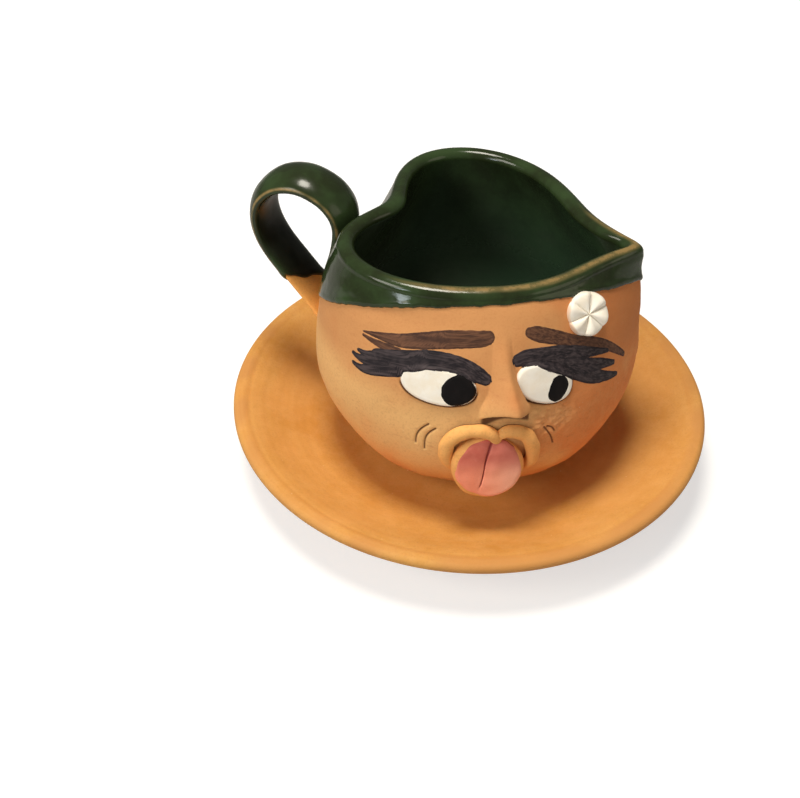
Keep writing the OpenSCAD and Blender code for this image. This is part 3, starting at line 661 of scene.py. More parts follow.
def saucer_material():
    """Clay with faint turning rings and a band that hands have worn."""
    n = Nodes("saucer_skin")
    drift = n.maths("MULTIPLY", n.noise(30, 1), 4.0)
    ring = n.add("ShaderNodeCombineXYZ", {0: from_middle(n), 1: drift}).outputs[0]
    turning = n.noise(1.4, 3, 0.6, ring)
    colour = n.tint(clay_colour(n, "saucer"), (turning, 0.4, 0.7, 0.1, "turning"),
                    (n.noise(24, 2), 0.4, 0.7, 0.35, "cloud"), (n.value("wear"), 0, 1, 0.7, "band"))
    return n.finish(colour, 0.7, n.bump(turning, 0.014, clay_bump(n, 0.7)), 0.35)


def glaze_material(name, gloss, deep_specular, kind):
    """Dark bottle-green glaze. It is thin and tan where the clay's edges come through; along the front of
    the rim that tan is also a painted highlight. Inside the cup and under the strap it blends into a copy
    that carries painted light and shade.
    """
    n = Nodes(name)
    thin, deep = n.value("thin"), n.value("deep")
    broken = n.maths("MULTIPLY", thin, n.step(n.noise(0.8, 3, 0.6), 0.3, 0.65, 0.8, 1.2))
    colour = n.tint(srgb("bottle"), (n.noise(11, 3, 0.6), 0.35, 0.7, 1, "moss"),
                    (n.noise(1.1, 3), 0.5, 0.8, 0.25, "leaf"))
    # Painted light and shade: inside the cup a lighter copy, under the strap a darker one, each darker to
    # the left, with grey patches of painted reflection
    shaded = n.tint(srgb(kind + "_left"), (n.place()[0], -26, 30, 1, kind + "_right"),
                    (n.noise(9, 2), 0.35, 0.7, 0.25, "reflection_grey"))
    colour = n.tint(n.mix(deep, colour, shaded), (thin, 0.1, 0.55, 0.8, "tan"),
                    (broken, 0.5, 0.95, 0.75, "gold"))
    ripple = n.bump(n.noise(6, 2), 0.12)
    pits = n.bump(n.step(n.cells(2.4), 0.03, 0.1), 0.02, n.bump(n.noise(0.5, 2), 0.004, ripple))
    dull = n.step(n.maths("ADD", broken, deep), 0.3, 0.9, gloss, 0.36)
    rough = n.maths("ADD", dull, n.step(n.noise(3, 2), 0.4, 0.7, 0, 0.05))
    return n.finish(colour, rough, pits, n.step(deep, 0, 1, 0.32, deep_specular),
                    **{"IOR": 1.5, "Coat Weight": 0.06, "Coat Roughness": 0.04})


def white_material():
    n = Nodes("white_slip_skin")
    colour = n.tint(srgb("white"), (n.noise(3, 3), 0.35, 0.7, 1, "cream"),
                    (n.noise(0.6, 2), 0.55, 0.8, 0.2, "oat"), (n.value("thin"), 0.35, 1, 0.6, "worn"))
    return n.finish(colour, 0.5, n.bump(n.noise(0.5, 3), 0.02, n.bump(n.noise(2.4, 2), 0.05)), 0.4)


def paint_material(kind, least):
    """Brushed slip, streaked where its cover is near least."""
    n = Nodes(kind + "_slip_skin")
    along = n.maths("MULTIPLY", n.value("along"), 0.16)
    own = n.add("ShaderNodeCombineXYZ", {0: along, 1: n.value("beside")})
    streaks = n.noise(0.42, 3, 0.6, own.outputs[0], 0.3)
    cover = n.maths("ADD", n.maths("MULTIPLY", n.step(streaks, 0.25, 0.72), 0.5),
                    n.maths("MULTIPLY", n.value("paint"), 0.55))
    colour = n.tint(srgb(kind + "_thin"), (cover, least, least + 0.5, 1, kind),
                    (n.noise(2.5, 2), 0.4, 0.7, 0.3, kind + "_thin"))
    return n.finish(colour, 0.6, n.bump(streaks, 0.015, n.bump(n.noise(0.35, 2), 0.012)), 0.15)


def tongue_material():
    n = Nodes("tongue_slip_skin")
    x, _, z = n.place()
    # Painted shadow: the top, tucked under the lip, turns dark red. Painted shade darkens the groove.
    colour = n.tint(srgb("salmon"), (x, -6, 5, 1, "pink"), (z, 24.5, 31, 0.8, "top_shadow_red"),
                    (n.noise(1.8, 3), 0.35, 0.75, 0.16, "blush"),
                    (n.noise(0.35, 2), 0.5, 0.75, 0.15, "brick"),
                    (n.value("cut"), 0.15, 0.8, 0.9, "groove"))
    return n.finish(colour, 0.62, clay_bump(n, 0.6), 0.35)


# Pieces

def saucer():
    """Thrown saucer with a turned-up band, a rounded edge and a resting ring."""
    edge_r, edge_z = SAUCER_R - EDGE_T / 2, SAUCER_H - EDGE_T / 2
    dish_r, dish_z = edge_r - LIP_BAND_W, SAUCER_H - LIP_BAND_RISE
    rest_r = REST_R - REST_W
    rest = [(rest_r / 2, REST_HOLLOW), (rest_r - 0.2, REST_HOLLOW), (rest_r + 0.1, REST_HOLLOW - 0.2),
            (rest_r + REST_HOLLOW / 2, 0), (REST_R - REST_HOLLOW / 2, 0), (REST_R - 0.15, 0.3),
            (REST_R, REST_HOLLOW / 2)]
    s = np.linspace(0, 1, 61)
    under = np.stack([REST_R + s * (edge_r - REST_R),
                      REST_STEP + s ** UNDER_CURVE * (edge_z - EDGE_T / 2 - REST_STEP)], -1)
    edge = [edge_r, edge_z] + EDGE_T / 2 * polar(np.linspace(-90, 90, 25)[1:], 1, 0)[:, :2]
    s = s[1:]
    band = np.stack([edge_r - s * LIP_BAND_W, SAUCER_H - LIP_BAND_RISE * smooth((s - 0.15) / 0.85)], -1)
    s = np.linspace(1, 0, 141)[1:]
    dish = np.stack([SEAT_R + s * (dish_r - SEAT_R), SEAT_Z + s ** DISH_CURVE * (dish_z - SEAT_Z)], -1)
    top = np.concatenate([band, dish])
    spread = np.linspace(-SOFT_BEND_W, SOFT_BEND_W, 15)[:, None]
    soft = np.interp(top[:, 0] + spread, top[::-1, 0], top[::-1, 1]).mean(0)
    near = smooth(2 - np.abs(top[:, 0] - dish_r) / SOFT_BEND_W)
    top[:, 1] += near * (soft - top[:, 1])
    floor_r = np.linspace(SEAT_R, 0, 16)[1:-1]
    floor = np.stack([floor_r, np.full_like(floor_r, SEAT_Z)], -1)
    profile = np.concatenate([rest, under, edge, top, floor])
    r = profile[:, :1]
    rings = polar(spaced(0, 360, 1), r, profile[:, 1:])
    upper = (np.arange(len(profile)) >= len(rest) + len(under))[:, None]
    wave = 0.02 * np.sin(r * 1.3) + 0.008 * np.sin(r * 3.1 + 1) + 0.06 * lumps(rings, 30, 21)
    rings[..., 2] += wave * upper * smooth((r - SEAT_R) / 5) * smooth((edge_r - 1 - r) / 2)
    wear = smooth((r - dish_r - 1) / 3) * upper * (0.6 + 0.5 * lumps(rings, 12, 22))
    part = skin(rings, [0, 0, REST_HOLLOW], [0, 0, SEAT_Z], wear=np.clip(wear, 0, 1))
    add_piece("saucer_dish", [part], saucer_material(), ["saucer"], "saucer")


def spaced(start, end, step):
    return np.linspace(start, end, max(2, int(round((end - start) / step))), endpoint=False)


# Directions of the cup's columns of points, closer together over the face
FACE_ANGLES = np.concatenate([spaced(-138, -30, 0.42), spaced(-30, 222, 1.2)])


def lift(a, z, h):
    """Point off the wall by h: along its normal, and level near the rim."""
    level = smooth((z - LIP_Z + 4) / 4)[..., None]
    way = unit((1 - level) * wall_normal(a, z) + level * polar(a, np.ones_like(z), 0 * z))
    return outside(a, z) + h[..., None] * way


def rim_rings(angles, turned, h):
    a, t = np.meshgrid(angles, turned)
    half = wall_depth(a, LIP_Z) / 2
    r = wall_r(a, LIP_Z) - half
    c, s = np.cos(np.radians(t)), np.sin(np.radians(t))
    return polar(a, r + (half + h) * c, LIP_Z + (LIP_H + h) * s)


def inside_rings(angles, count, h):
    a, t = np.meshgrid(angles, np.linspace(0, 1, count)[1:])
    low = BASE_T + FLOOR_FILLET
    z = LIP_Z + t * (low - LIP_Z)
    r = wall_r(a, z) - wall_depth(a, z)
    return polar(a, r - h, z)


FILLET_W = FLOOR_FILLET * 1.6


def floor_rings(angles, h):
    low = BASE_T + FLOOR_FILLET
    edge = wall_r(angles, low) - wall_depth(angles, low)
    rings = []
    for t in np.radians(np.linspace(0, 90, 13)[1:]):
        c, s = math.cos(t), math.sin(t)
        rings.append(polar(angles, edge - FILLET_W * (1 - c) - h * c, low + (h - FLOOR_FILLET) * s))
    for share in np.linspace(0.92, 0.08, 10):
        rings.append(polar(angles, (edge - FILLET_W) * share, BASE_T + h))
    return np.array(rings)


def cup_clay():
    """Foot ring, worked outer wall with the nose, rim, inside and floor."""
    angles = FACE_ANGLES
    rows = np.concatenate([spaced(0, 20, 0.8), spaced(20, 46, 0.21), spaced(46, LIP_Z, 0.45)])
    a, z = np.meshgrid(angles, rows)
    wall = lift(a, z, face_height(a, z))
    ring_r = FOOT_R - FOOT_RING_W
    foot = [(ring_r - FOOT_HOLLOW, FOOT_HOLLOW), (ring_r, 0.15), (ring_r + 0.6, 0), (FOOT_R - 0.5, 0)]
    rings = np.concatenate([[polar(angles, *spot) for spot in foot], wall,
                            rim_rings(angles, np.linspace(0, 180, 13), 0),
                            inside_rings(angles, 40, 0), floor_rings(angles, 0)])
    cut, scraped, crease_shade = np.zeros(rings.shape[:2]), np.zeros(rings.shape[:2]), np.zeros(a.shape)
    near = near_face(a)
    # The clay's grooves and the crease under the nose are marked for painted shade
    crease_shade[near] = np.maximum(groove_depth(a[near], z[near]), under_nose_shade(a[near], z[near]))
    cut[len(foot):len(foot) + len(rows)] = crease_shade
    scraped[len(foot):len(foot) + len(rows)] = scraped_share(a, z)
    part = skin(rings, [0, 0, FOOT_HOLLOW], [0, 0, BASE_T], cut=cut, scraped=scraped)
    add_piece("cup_clay", [part], clay_material(), ["cup_body", "nose"])


# A coat's thinnest height off the clay, and how deep its hidden back lies in it
COAT_LEAST = 0.03
COAT_SUNK = 0.05
FREE_RISE = 20
WORN_AND_LIT_TOWARD_A = 297


def cup_coat():
    """Glaze over the rim and the inside, with a rounded, ragged lower edge."""
    angles = spaced(0, 360, 0.6)
    line = dip_line(angles)
    top = LIP_Z - line
    up = np.concatenate([[0, 0.08, 0.2, 0.35, 0.55, 0.8, 1.1, 1.5], np.linspace(2, FREE_RISE, 37)])[:, None]
    share = np.linspace(0, 1, len(up))[:, None]
    rise = np.maximum(np.where(top < FREE_RISE, 0, np.minimum(up, top)), share ** 1.8 * top)
    a, z = np.broadcast_to(angles, rise.shape), line + rise
    turned = np.linspace(0, 180, 31)[1:]

    def layer(band_h, h):
        return [lift(a, z, relief(a, z) + band_h), rim_rings(angles, turned, h),
                inside_rings(angles, 90, h), floor_rings(angles, h)]

    thick = COAT_LEAST + GLAZE_T * round_in(rise / 0.7) + 0.12 * hump(rise, 1, 0.6)
    band, crest, inner, floor = layer(thick, GLAZE_T + COAT_LEAST)
    front = np.concatenate([band, crest, inner, floor])
    back = np.concatenate(layer(np.full(rise.shape, -COAT_SUNK), -COAT_SUNK))
    thin, deep, flat = (np.zeros(front.shape[:2]) for _ in range(3))
    k, rim_end = len(band), len(band) + len(crest)
    # The tan run along the crest is worn glaze and also a painted highlight, strongest towards the front of
    # the rim
    toward = 0.1 + 0.8 * smooth((np.cos(np.radians(angles - WORN_AND_LIT_TOWARD_A)) + 0.05) / 0.75)
    thin[k:rim_end] = hump(turned[:, None], 82, 25) * toward * (0.85 + 0.14 * lumps(crest, 5, 31))
    thin[k:rim_end] += 0.25 * hump(turned[:, None], 70, 34) * hump(turn(angles, TIP_A), 0, 13)
    ridge = 0.45 * hump(turn(a, RIDGE_A), 0, 1.2) * smooth((z - 44) / 5)
    thin[:k] = np.maximum(0.3 * hump(rise, 0, 0.3) + 0.15 * hump(z, LIP_Z + 1, 1.2) * toward, ridge)
    # Painted light and shade: the inside and the floor blend into the glaze's lit copy, more so further
    # down
    deep[rim_end:] = smooth(np.linspace(0.12, 1.2, len(inner) + len(floor)))[:, None]
    glaze = glaze_material("green_glaze_skin", 0.13, 0.5, "cup")
    part = skin(np.concatenate([back[::-1], front]), [0, 0, BASE_T - COAT_SUNK],
                [0, 0, BASE_T + GLAZE_T + COAT_LEAST],
                thin=np.clip(np.concatenate([flat, thin]), 0, 1), deep=np.concatenate([flat, deep]))
    add_piece("cup_glaze_coat", [part], glaze, ["cup_glaze"])


LOOP = curve_through(LOOP_SHARES, 1401) * [LOOP_REACH, LOOP_RISE] + [LOOP_ROOT_R, LOOP_LOW_Z]
HANDLE_OUT = polar(HANDLE_A, 1, 0)
HANDLE_SIDE = polar(HANDLE_A + 90, 1, 0)
STRAP_SQUARE = 0.75


def strap_points(t, turned, h):
    """Points of the strap, lifted by h, at shares t of its path and directions round it. Its outer
    face is crowned and its upper end pressed on the wall."""
    t, turned, h = np.broadcast_arrays(t, turned, h)
    k = t * (len(LOOP) - 1)
    steps = np.arange(len(LOOP))
    p, ahead, behind = (np.stack([np.interp(k + d, steps, LOOP[:, i]) for i in (0, 1)], -1)
                        for d in (0, 5, -5))
    w = unit(ahead - behind)
    thin = np.where(t < 0.16, 0.4 + 0.6 * round_in(t / 0.16), 1)
    c, s = np.cos(np.radians(turned)), np.sin(np.radians(turned))
    x = np.sign(c) * np.abs(c) ** STRAP_SQUARE
    edge = STRAP_EDGE_T / 2 * thin
    crown = (STRAP_T - STRAP_EDGE_T) * thin * (1 - x ** 2)
    v = (edge + h) * np.sign(s) * np.abs(s) ** STRAP_SQUARE + np.where(s > 0, crown, 0)
    flare = 1 + 0.12 * smooth((t - 0.9) / 0.1) + 0.1 * smooth((0.1 - t) / 0.1)
    q = p + v[..., None] * np.stack([-w[..., 1], w[..., 0]], -1)
    side = (STRAP_W / 2 * flare + h) * (0.55 + 0.45 * round_in(t / 0.06)) * x
    points = HANDLE_OUT * q[..., :1] + HANDLE_SIDE * side[..., None]
    points[..., 2] += q[..., 1]
    points[..., 2] += 0.12 * lumps(points, 14, 41) * smooth(t / 0.2)
    a = np.degrees(np.arctan2(points[..., 1], points[..., 0]))
    r = np.hypot(points[..., 0], points[..., 1])
    least = wall_r(a, points[..., 2]) + 0.1 + np.clip(v, 0, edge + crown)
    pressed = (t < 0.5) & (points[..., 2] < CUP_H) & (r < least)
    return np.where(pressed[..., None], polar(a, least, points[..., 2]), points)


# Where the strap ends, past its path and in the wall, and the millimetres that a share of 1
# counts for past the path and along the glaze
STRAP_END, PAST_L, GLAZED_L = 1.012, 180, 60
STRAP_TURNS = spaced(0, 360, 5.625)


def strap_line():
    """Share of the path where the glaze ends, for each direction."""
    b = np.radians(STRAP_TURNS)
    far = (1 - np.cos(b)) / 2
    ragged = 0.003 * np.sin(3 * b + math.radians(40)) + 0.0015 * np.sin(8 * b)
    return NEAR_GLAZE_SHARE + (FAR_GLAZE_SHARE - NEAR_GLAZE_SHARE) * far + ragged


def strap_clay():
    t = np.concatenate([np.linspace(0, 0.8, 100), np.linspace(0.8, STRAP_END, 60)[1:]])[:, None]
    rings = strap_points(np.minimum(t, 1), STRAP_TURNS, 0)
    way = unit(LOOP[-1] - LOOP[-20])
    past = HANDLE_OUT * way[0] + np.array([0, 0, way[1]])
    rings += np.maximum(t - 1, 0)[..., None] * PAST_L * past
    add_piece("strap_clay", [capped(rings)], handle_clay_material(), ["strap_handle"])


def strap_coat():
    """Glaze on the strap, worn to the clay along its two edges."""
    line = strap_line()
    s = np.concatenate([np.linspace(0, 0.94, 150), np.linspace(0.94, 1, 24)[1:]])[:, None]
    t = s * line
    gone = (1 - s) * GLAZED_L
    thick = COAT_LEAST + GLAZE_T * round_in(gone / 0.7) + 0.1 * hump(gone, 1, 0.6)
    outer = strap_points(t, STRAP_TURNS, thick)
    inner = strap_points(t, STRAP_TURNS, -COAT_SUNK)
    c, up = np.cos(np.radians(STRAP_TURNS)), np.sin(np.radians(STRAP_TURNS))
    arris = hump(np.degrees(np.arccos(np.clip(np.abs(c), 0, 1))), 15, 9) * (up > 0)
    near = np.where(c > 0, 0.95, 0.4)
    thin = arris * near * (0.8 + 0.2 * lumps(outer, 3, 42)) * smooth((t - 0.12) / 0.1)
    thin = np.maximum(thin, 0.3 * hump(gone, 0, 0.4))
    # Painted shade: the strap's lower side blends into the darker copy of the glaze
    deep = np.broadcast_to(smooth(-up), thin.shape) * 0.9
    flat = np.zeros(thin.shape)
    glaze = glaze_material("handle_glaze_skin", 0.2, 0.1, "loop")
    part = sleeve(np.concatenate([outer, inner[::-1]]), thin=np.clip(np.concatenate([thin, flat]), 0, 1),
                  deep=np.concatenate([deep, flat]))
    add_piece("strap_glaze_coat", [part], glaze, ["handle_glaze"])


def spans(shape, w, h):
    """Ranges of the angle and the height round an oval."""
    return (shape["a"] - w, shape["a"] + w), (shape["z"] - h, shape["z"] + h)


def eye(side, white):
    """Flattened white pad that sits in its socket."""
    shape = EYES[side]

    def height(a, z, inside):
        return eye_height(a, z, side) + 0.03 * lumps(outside(a, z), 4, 51)

    part = patch(*spans(shape, shape["w"] * 0.95, shape["w"] / 2), 0.16,
                 lambda a, z: oval_depth(a, z, shape), height, 0.9,
                 thin=lambda a, z, inside: 0.7 * hump(inside, 0, 0.22))
    add_piece(side + "_eye_white", [part], white, [side + "_eye"])


def pupil(side, black):
    """Black slip on the eye, which stops at the eye's edge."""
    shape = PUPILS[side]

    def depth(a, z):
        wave = 0.048 * lumps(outside(a, z), 1.6, 52)
        return np.minimum(oval_depth(a, z, shape) + wave, oval_depth(a, z, EYES[side]) - 0.02)

    def height(a, z, inside):
        return eye_height(a, z, side) + np.clip(-0.04 + 0.2 * inside, -0.1, 0.12)

    part = patch(*spans(shape, shape["h"] * 1.1, shape["h"] * 0.75), 0.12,
                 depth, height, 0.0, paint=lambda a, z, inside: np.clip(0.6 + inside, 0, 1),
                 along=lambda a, z, inside: np.radians(a) * wall_r(a, z), beside=lambda a, z, inside: z)
    add_piece(side + "_pupil_paint", [part], black, [side + "_pupil"])


def brushed(side, kind, strokes, paint, node, lift_by, seed):
    """Brush strokes on whatever lies under them: the clay, or the top of an eye."""
    strokes = strokes[side]
    places = np.array([s[:2] for stroke in strokes for s in stroke])
    span_a = (places[:, 0].min() - 4, places[:, 0].max() + 5)
    span_z = (places[:, 1].min() - 3.2, places[:, 1].max() + 3.2)

    found = {}

    def depth(a, z):
        p = outside(a, z)
        bristles = lumps(p * np.array([0.5, 0.5, 2.4]), 1.1, seed + 1)
        best, found["along"], found["beside"] = stroke_places(a, z, strokes)
        return best + 0.02 * lumps(p, 1.4, seed) + 0.02 * bristles

    def height(a, z, inside):
        under = face_height(a, z)
        for eye_side, shape in EYES.items():
            eye_top = np.where(oval_depth(a, z, shape) > -0.25, eye_height(a, z, eye_side, 0.2), -1)
            under = np.maximum(under, eye_top)
        return under + np.clip(0.25 * inside, -0.12, lift_by)

    part = patch(span_a, span_z, 0.15, depth, height, 0.5,
                 paint=lambda a, z, inside: np.clip(hump(inside, 0.2, 0.25) * 0.6 + 0.3 * inside, 0, 1),
                 along=lambda a, z, inside: found["along"], beside=lambda a, z, inside: found["beside"])
    add_piece(f"{side}_{kind}_paint", [part], paint, [f"{side}_{node}"])


def roll(stroke, count, seed):
    """A roll of clay along a stroke on the wall, with round ends."""
    a, z, half = curve_through(stroke, count).T
    t = np.linspace(0, 1, count)
    ends = round_in(np.minimum(t, 1 - t) / 0.07)
    r = half * np.maximum(ends, 0.05)
    middle = on_wall(a, z, 0.55 * half)
    out = wall_normal(a, z)
    side = unit(np.cross(unit(np.gradient(middle, axis=0)), out))
    turned = np.linspace(0, 2 * math.pi, 40, endpoint=False)
    c, s = np.cos(turned)[None, :, None], np.sin(turned)[None, :, None]
    rings = middle[:, None] + r[:, None, None] * (side[:, None] * c + 1.05 * out[:, None] * s)
    rings = rings + (0.06 * lumps(rings, 3.5, seed))[..., None] * (side[:, None] * c + out[:, None] * s)
    # Painted shade on the roll's side towards the wall and at its ends
    cut = np.broadcast_to(smooth((-np.sin(turned)[None, :] + 0.15) / 0.5), rings.shape[:2]) * 0.9
    return skin(rings, middle[0], middle[-1], cut=np.maximum(cut, 1 - ends[:, None]))


def lips(clay):
    """Two rolls that meet in a cleft under the nose and run down beside the tongue."""
    left = [(256.6, 19.2, 1), (254.2, 20.6, 1.4), (252.8, 22.4, 1.65), (252.4, 24.4, 1.7),
            (252.9, 26.6, 1.7), (254.8, 28.4, 1.7), (257.4, 29.5, 1.65), (261, 30.1, 1.6),
            (264.4, 30.1, 1.6), (267.2, 29.4, 1.55), (268.9, 28, 1.3), (269.5, 26.7, 0.9)]
    right = [(269.5, 27.6, 0.8), (270.3, 28.9, 1.2), (272.6, 29.7, 1.5), (275.6, 29.6, 1.6),
             (278.6, 28.7, 1.65), (280.7, 26.9, 1.7), (281.7, 24.4, 1.7), (281.6, 22.2, 1.6),
             (280.4, 20.2, 1.4), (278.6, 18.8, 1)]
    parts = [roll(left, 150, 61), roll(right, 130, 62)]
    add_piece("lip_rolls", parts, clay, ["lip_roll"])


# Discs pressed on the wall. A frame is a disc's middle and the ways to its side, top and front.

def disc_frame(a, z, h, normal):
    side = unit(np.cross([0, 0, 1], normal))
    return on_wall(a, z, h), side, np.cross(normal, side), normal


def disc_grid(rows, step):
    """Shares of a disc's radius, and directions round it in radians."""
    return np.meshgrid(np.linspace(0.02, 1, rows), np.radians(spaced(0, 360, step)), indexing="ij")


def disc(place, u, v, front, behind, skipped, **values):
    """A closed disc from its front's and back's heights. The front skips rows at the edge."""
    middle, side, top, out = place
    front, behind = (middle + u[..., None] * side + v[..., None] * top + h[..., None] * out
                     for h in (front, behind))
    return capped(np.concatenate([behind, front[::-1][skipped:]]),
                  **{key: np.concatenate([0 * w, w[::-1][skipped:]]) for key, w in values.items()})


TONGUE_A, TONGUE_Z, TONGUE_OUT, TONGUE_LEAN = 266.3, 21.4, 2.9, math.radians(11)
TONGUE_R = 8.3
TONGUE_H = TONGUE_R * 0.98
TONGUE_T = 3.1
TONGUE_FRAME = disc_frame(TONGUE_A, TONGUE_Z, TONGUE_OUT,
                          polar(TONGUE_A, math.cos(TONGUE_LEAN), math.sin(TONGUE_LEAN)))
PINK_RIGHT, PINK_UP, PINK_R, PINK_T = 0.4, 0.05, 7.75, 0.1


def tongue_cut(u, v):
    """Share of the groove, which bends a little and fades out low."""
    line = 0.1 + 0.2 * (v - 4) - 0.2 * np.sin(v * 0.5)
    width = 0.16 + 0.03 * np.clip(v, 0, 6)
    return hump(u, line, width) * smooth((v + 6.4) / 2.5)


def tongue_height(u, v):
    """Height of the front: swollen, with a groove, and tucked in at the top."""
    swell = 0.35 * (1 - (u ** 2 + v ** 2) / TONGUE_R ** 2)
    beside = 0.3 * hump(u, 0.1 + 0.2 * (v - 4), 1.5)
    tucked = -0.5 * smooth((v - 4.2) / 3.5)
    bumps = 0.05 * lumps(np.stack([u, v, 0 * u], -1), 4, 63)
    return swell - beside - 0.4 * tongue_cut(u, v) + tucked + bumps


def tongue_drop(share, most):
    """How far the rounded edge falls at a share of the radius."""
    return TONGUE_T / 2 * (1 - np.sqrt(1 - np.clip((share - 0.8) / 0.2, 0, most) ** 2))


def tongue(clay):
    s, b = disc_grid(60, 2.5)
    wobble = 1 + 0.012 * np.sin(3 * b + 1) + 0.01 * np.sin(5 * b)
    u, v = TONGUE_R * s * wobble * np.cos(b), TONGUE_H * s * wobble * np.sin(b)
    drop, level = tongue_drop(s, 1), tongue_height(u, v)
    # The groove is marked for painted shade.
    part = disc(TONGUE_FRAME, u, v, level - drop, level * smooth(s - 0.5) - TONGUE_T + drop, 1,
                cut=tongue_cut(u, v) * 0.8)
    add_piece("tongue_disc", [part], clay, ["tongue"])


def tongue_coat():
    """Pink slip on the front, which leaves a crescent of clay bare at the left."""
    s, b = disc_grid(70, 2.5)
    r = PINK_R * s * (1 + 0.012 * np.sin(4 * b) + 0.008 * np.sin(11 * b + 2))
    u, v = PINK_RIGHT + r * np.cos(b), PINK_UP + r * np.sin(b)
    level = tongue_height(u, v) - tongue_drop(np.hypot(u / TONGUE_R, v / TONGUE_H), 0.99)
    front = level + PINK_T - 0.16 * smooth((s - 0.9) / 0.1)
    # The groove is marked for painted shade.
    part = disc(TONGUE_FRAME, u, v, front, level - 0.15, 1, cut=tongue_cut(u, v))
    add_piece("tongue_pink", [part], tongue_material(), ["tongue_coat"])


FLOWER_A, FLOWER_Z, FLOWER_OUT, FLOWER_LEAN = 311.6, 50.36, 0.25, (-0.1, -0.6, 0.3)
FLOWER_R, FLOWER_T, FLOWER_SUNK, FLOWER_CREASE = 5.1, 2.4, 1.6, math.radians(12)


def flower(white):
    """Pressed button with six petals that meet in creases."""
    normal = unit(wall_normal(FLOWER_A, FLOWER_Z) + FLOWER_LEAN)
    place = disc_frame(FLOWER_A, FLOWER_Z, FLOWER_OUT, normal)
    s, b = disc_grid(46, 2)
    phase = 3 * (b - FLOWER_CREASE)
    petal = np.abs(np.sin(phase)) ** 0.6
    r = FLOWER_R * s * (0.945 + 0.055 * petal)
    u, v = r * np.cos(b), r * np.sin(b)
    swell = (1 - 0.62 * s ** 5) * (0.12 + 0.88 * petal * (0.4 + 0.6 * s ** 0.6))
    rise = 0.42 + 0.58 * swell + 0.112 * np.sin(2 * phase) * s
    front = FLOWER_T * rise * (0.45 + 0.55 * round_in((1 - s) / 0.1))
    bare = smooth((s - 0.8) / 0.2) * smooth((-np.cos(b - math.radians(10)) - 0.5) / 0.4)
    # The bare crescent at the left is clay; the tint in the creases between the petals is painted shade.
    bare = np.clip(bare + 0.25 * (1 - petal) * s, 0, 1)
    part = disc(place, u, v, front, np.full_like(u, -FLOWER_SUNK), 0, thin=bare)
    add_piece("flower_disc", [part], white, ["flower_button"])


# Floor, lamps and camera

FLOOR_HALF, FLOOR_LOW = 20, -0.0002
# Strength of the floor's own white near the object and far off, and between which distances
# in millimetres it grows
FLOOR_GLOW, GLOW_R = (0.6, 1), (150, 700)
WORLD_STRENGTH = 0.13
CUP_MIDDLE = (0, 0, 0.04)
# Name, place and size in metres, watts and colour
LAMPS = [("overhead", (-0.1, 0.02, 0.74), (0.28, 0.26), 4.4, (1, 0.94, 0.83)),
         ("window", (-0.44, -0.42, 0.3), (0.09, 0.14), 0.45, (0.86, 0.94, 1)),
         ("room", (-0.6, -0.3, 0.5), (0.34, 0.34), 2.4, (1, 0.95, 0.86)),
         ("fill", (0.55, -0.4, 0.3), (0.5, 0.5), 0.7, (1, 0.86, 0.7))]


def floor():
    """Pale floor that takes the object's shadow. For the camera it also glows white."""
    mesh = bpy.data.meshes.new("floor")
    corners = [(-1, -1), (1, -1), (1, 1), (-1, 1)]
    mesh.from_pydata([(x * FLOOR_HALF, y * FLOOR_HALF, FLOOR_LOW) for x, y in corners], [], [(0, 1, 2, 3)])
    n = Nodes("floor_white")
    path = n.add("ShaderNodeLightPath").outputs
    seen = n.maths("MAXIMUM", path["Is Camera Ray"], path["Is Transmission Ray"])
    glow = n.maths("MULTIPLY", seen, n.step(from_middle(n), *GLOW_R, *FLOOR_GLOW))
    n.finish((0.55, 0.55, 0.55, 1), 0.9, None, 0.0,
             **{"Emission Color": (1, 1, 1, 1), "Emission Strength": glow})
    mesh.materials.append(n.material)
    put("floor", mesh)


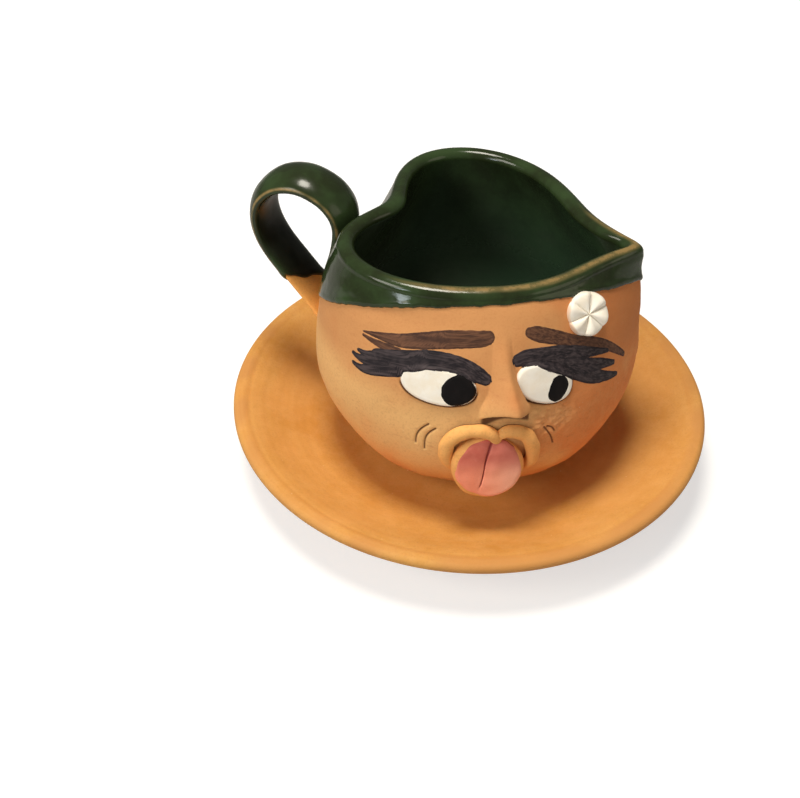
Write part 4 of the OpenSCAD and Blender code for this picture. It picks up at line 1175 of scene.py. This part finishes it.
def lamps():
    world = bpy.data.worlds.new("soft_room")
    world.use_nodes = True
    tree = world.node_tree
    path = add_node(tree, "ShaderNodeLightPath").outputs["Is Camera Ray"]
    strength = add_node(tree, "ShaderNodeMapRange", {"Value": path, "To Min": WORLD_STRENGTH}).outputs[0]
    fill(tree, tree.nodes["Background"], {"Strength": strength, "Color": (1, 1, 1, 1)})
    bpy.context.scene.world = world
    for name, place, size, watts, colour in LAMPS:
        data = bpy.data.lights.new(name, "AREA")
        data.shape = "ELLIPSE"
        data.size, data.size_y = size
        data.energy = watts
        data.color = colour
        piece = put(name, data)
        piece.location = place
        piece.rotation_euler = (Vector(CUP_MIDDLE) - Vector(place)).to_track_quat("-Z", "Y").to_euler()


IMAGE_W = 800
FOCAL_PX = 1272
VIEW_ELEVATION = 41.2
VIEW_YAW = -6.5
VIEW_ROLL = 1.5
VIEW_DISTANCE = 300
VIEW_TARGET = (-19.72, -18.49, 30)


def camera():
    el, yaw, roll_a = (math.radians(x) for x in (VIEW_ELEVATION, VIEW_YAW, VIEW_ROLL))
    back = Vector((math.sin(yaw) * math.cos(el), -math.cos(yaw) * math.cos(el), math.sin(el)))
    right = Vector((math.cos(yaw), math.sin(yaw), 0))
    up = back.cross(right)
    across = right * math.cos(roll_a) + up * math.sin(roll_a)
    above = up * math.cos(roll_a) - right * math.sin(roll_a)
    data = bpy.data.cameras.new("photo_view")
    data.sensor_width = 36
    data.lens = FOCAL_PX / IMAGE_W * data.sensor_width
    data.clip_start = 0.01
    piece = put("photo_view", data)
    turned = Matrix((across, above, back)).transposed().to_4x4()
    place = Vector(VIEW_TARGET) * MM + back * VIEW_DISTANCE * MM
    piece.matrix_world = Matrix.Translation(place) @ turned
    bpy.context.scene.camera = piece


saucer()
cup_clay()
cup_coat()
strap_clay()
strap_coat()
white_slip, lip_clay = white_material(), lip_material()
black_slip = paint_material("black", 0.1)
lash_slip, brow_slip = paint_material("lash", 0.15), paint_material("brow", 0.2)
for which in EYES:
    eye(which, white_slip)
    pupil(which, black_slip)
    brushed(which, "brow", BROWS, brow_slip, "brow", 0.04, 71)
    brushed(which, "lash", LASHES, lash_slip, "lashes", 0.1, 73)
lips(lip_clay)
tongue(lip_clay)
tongue_coat()
flower(white_slip)
floor()
lamps()
camera()
bpy.context.scene.view_settings.view_transform = "Standard"
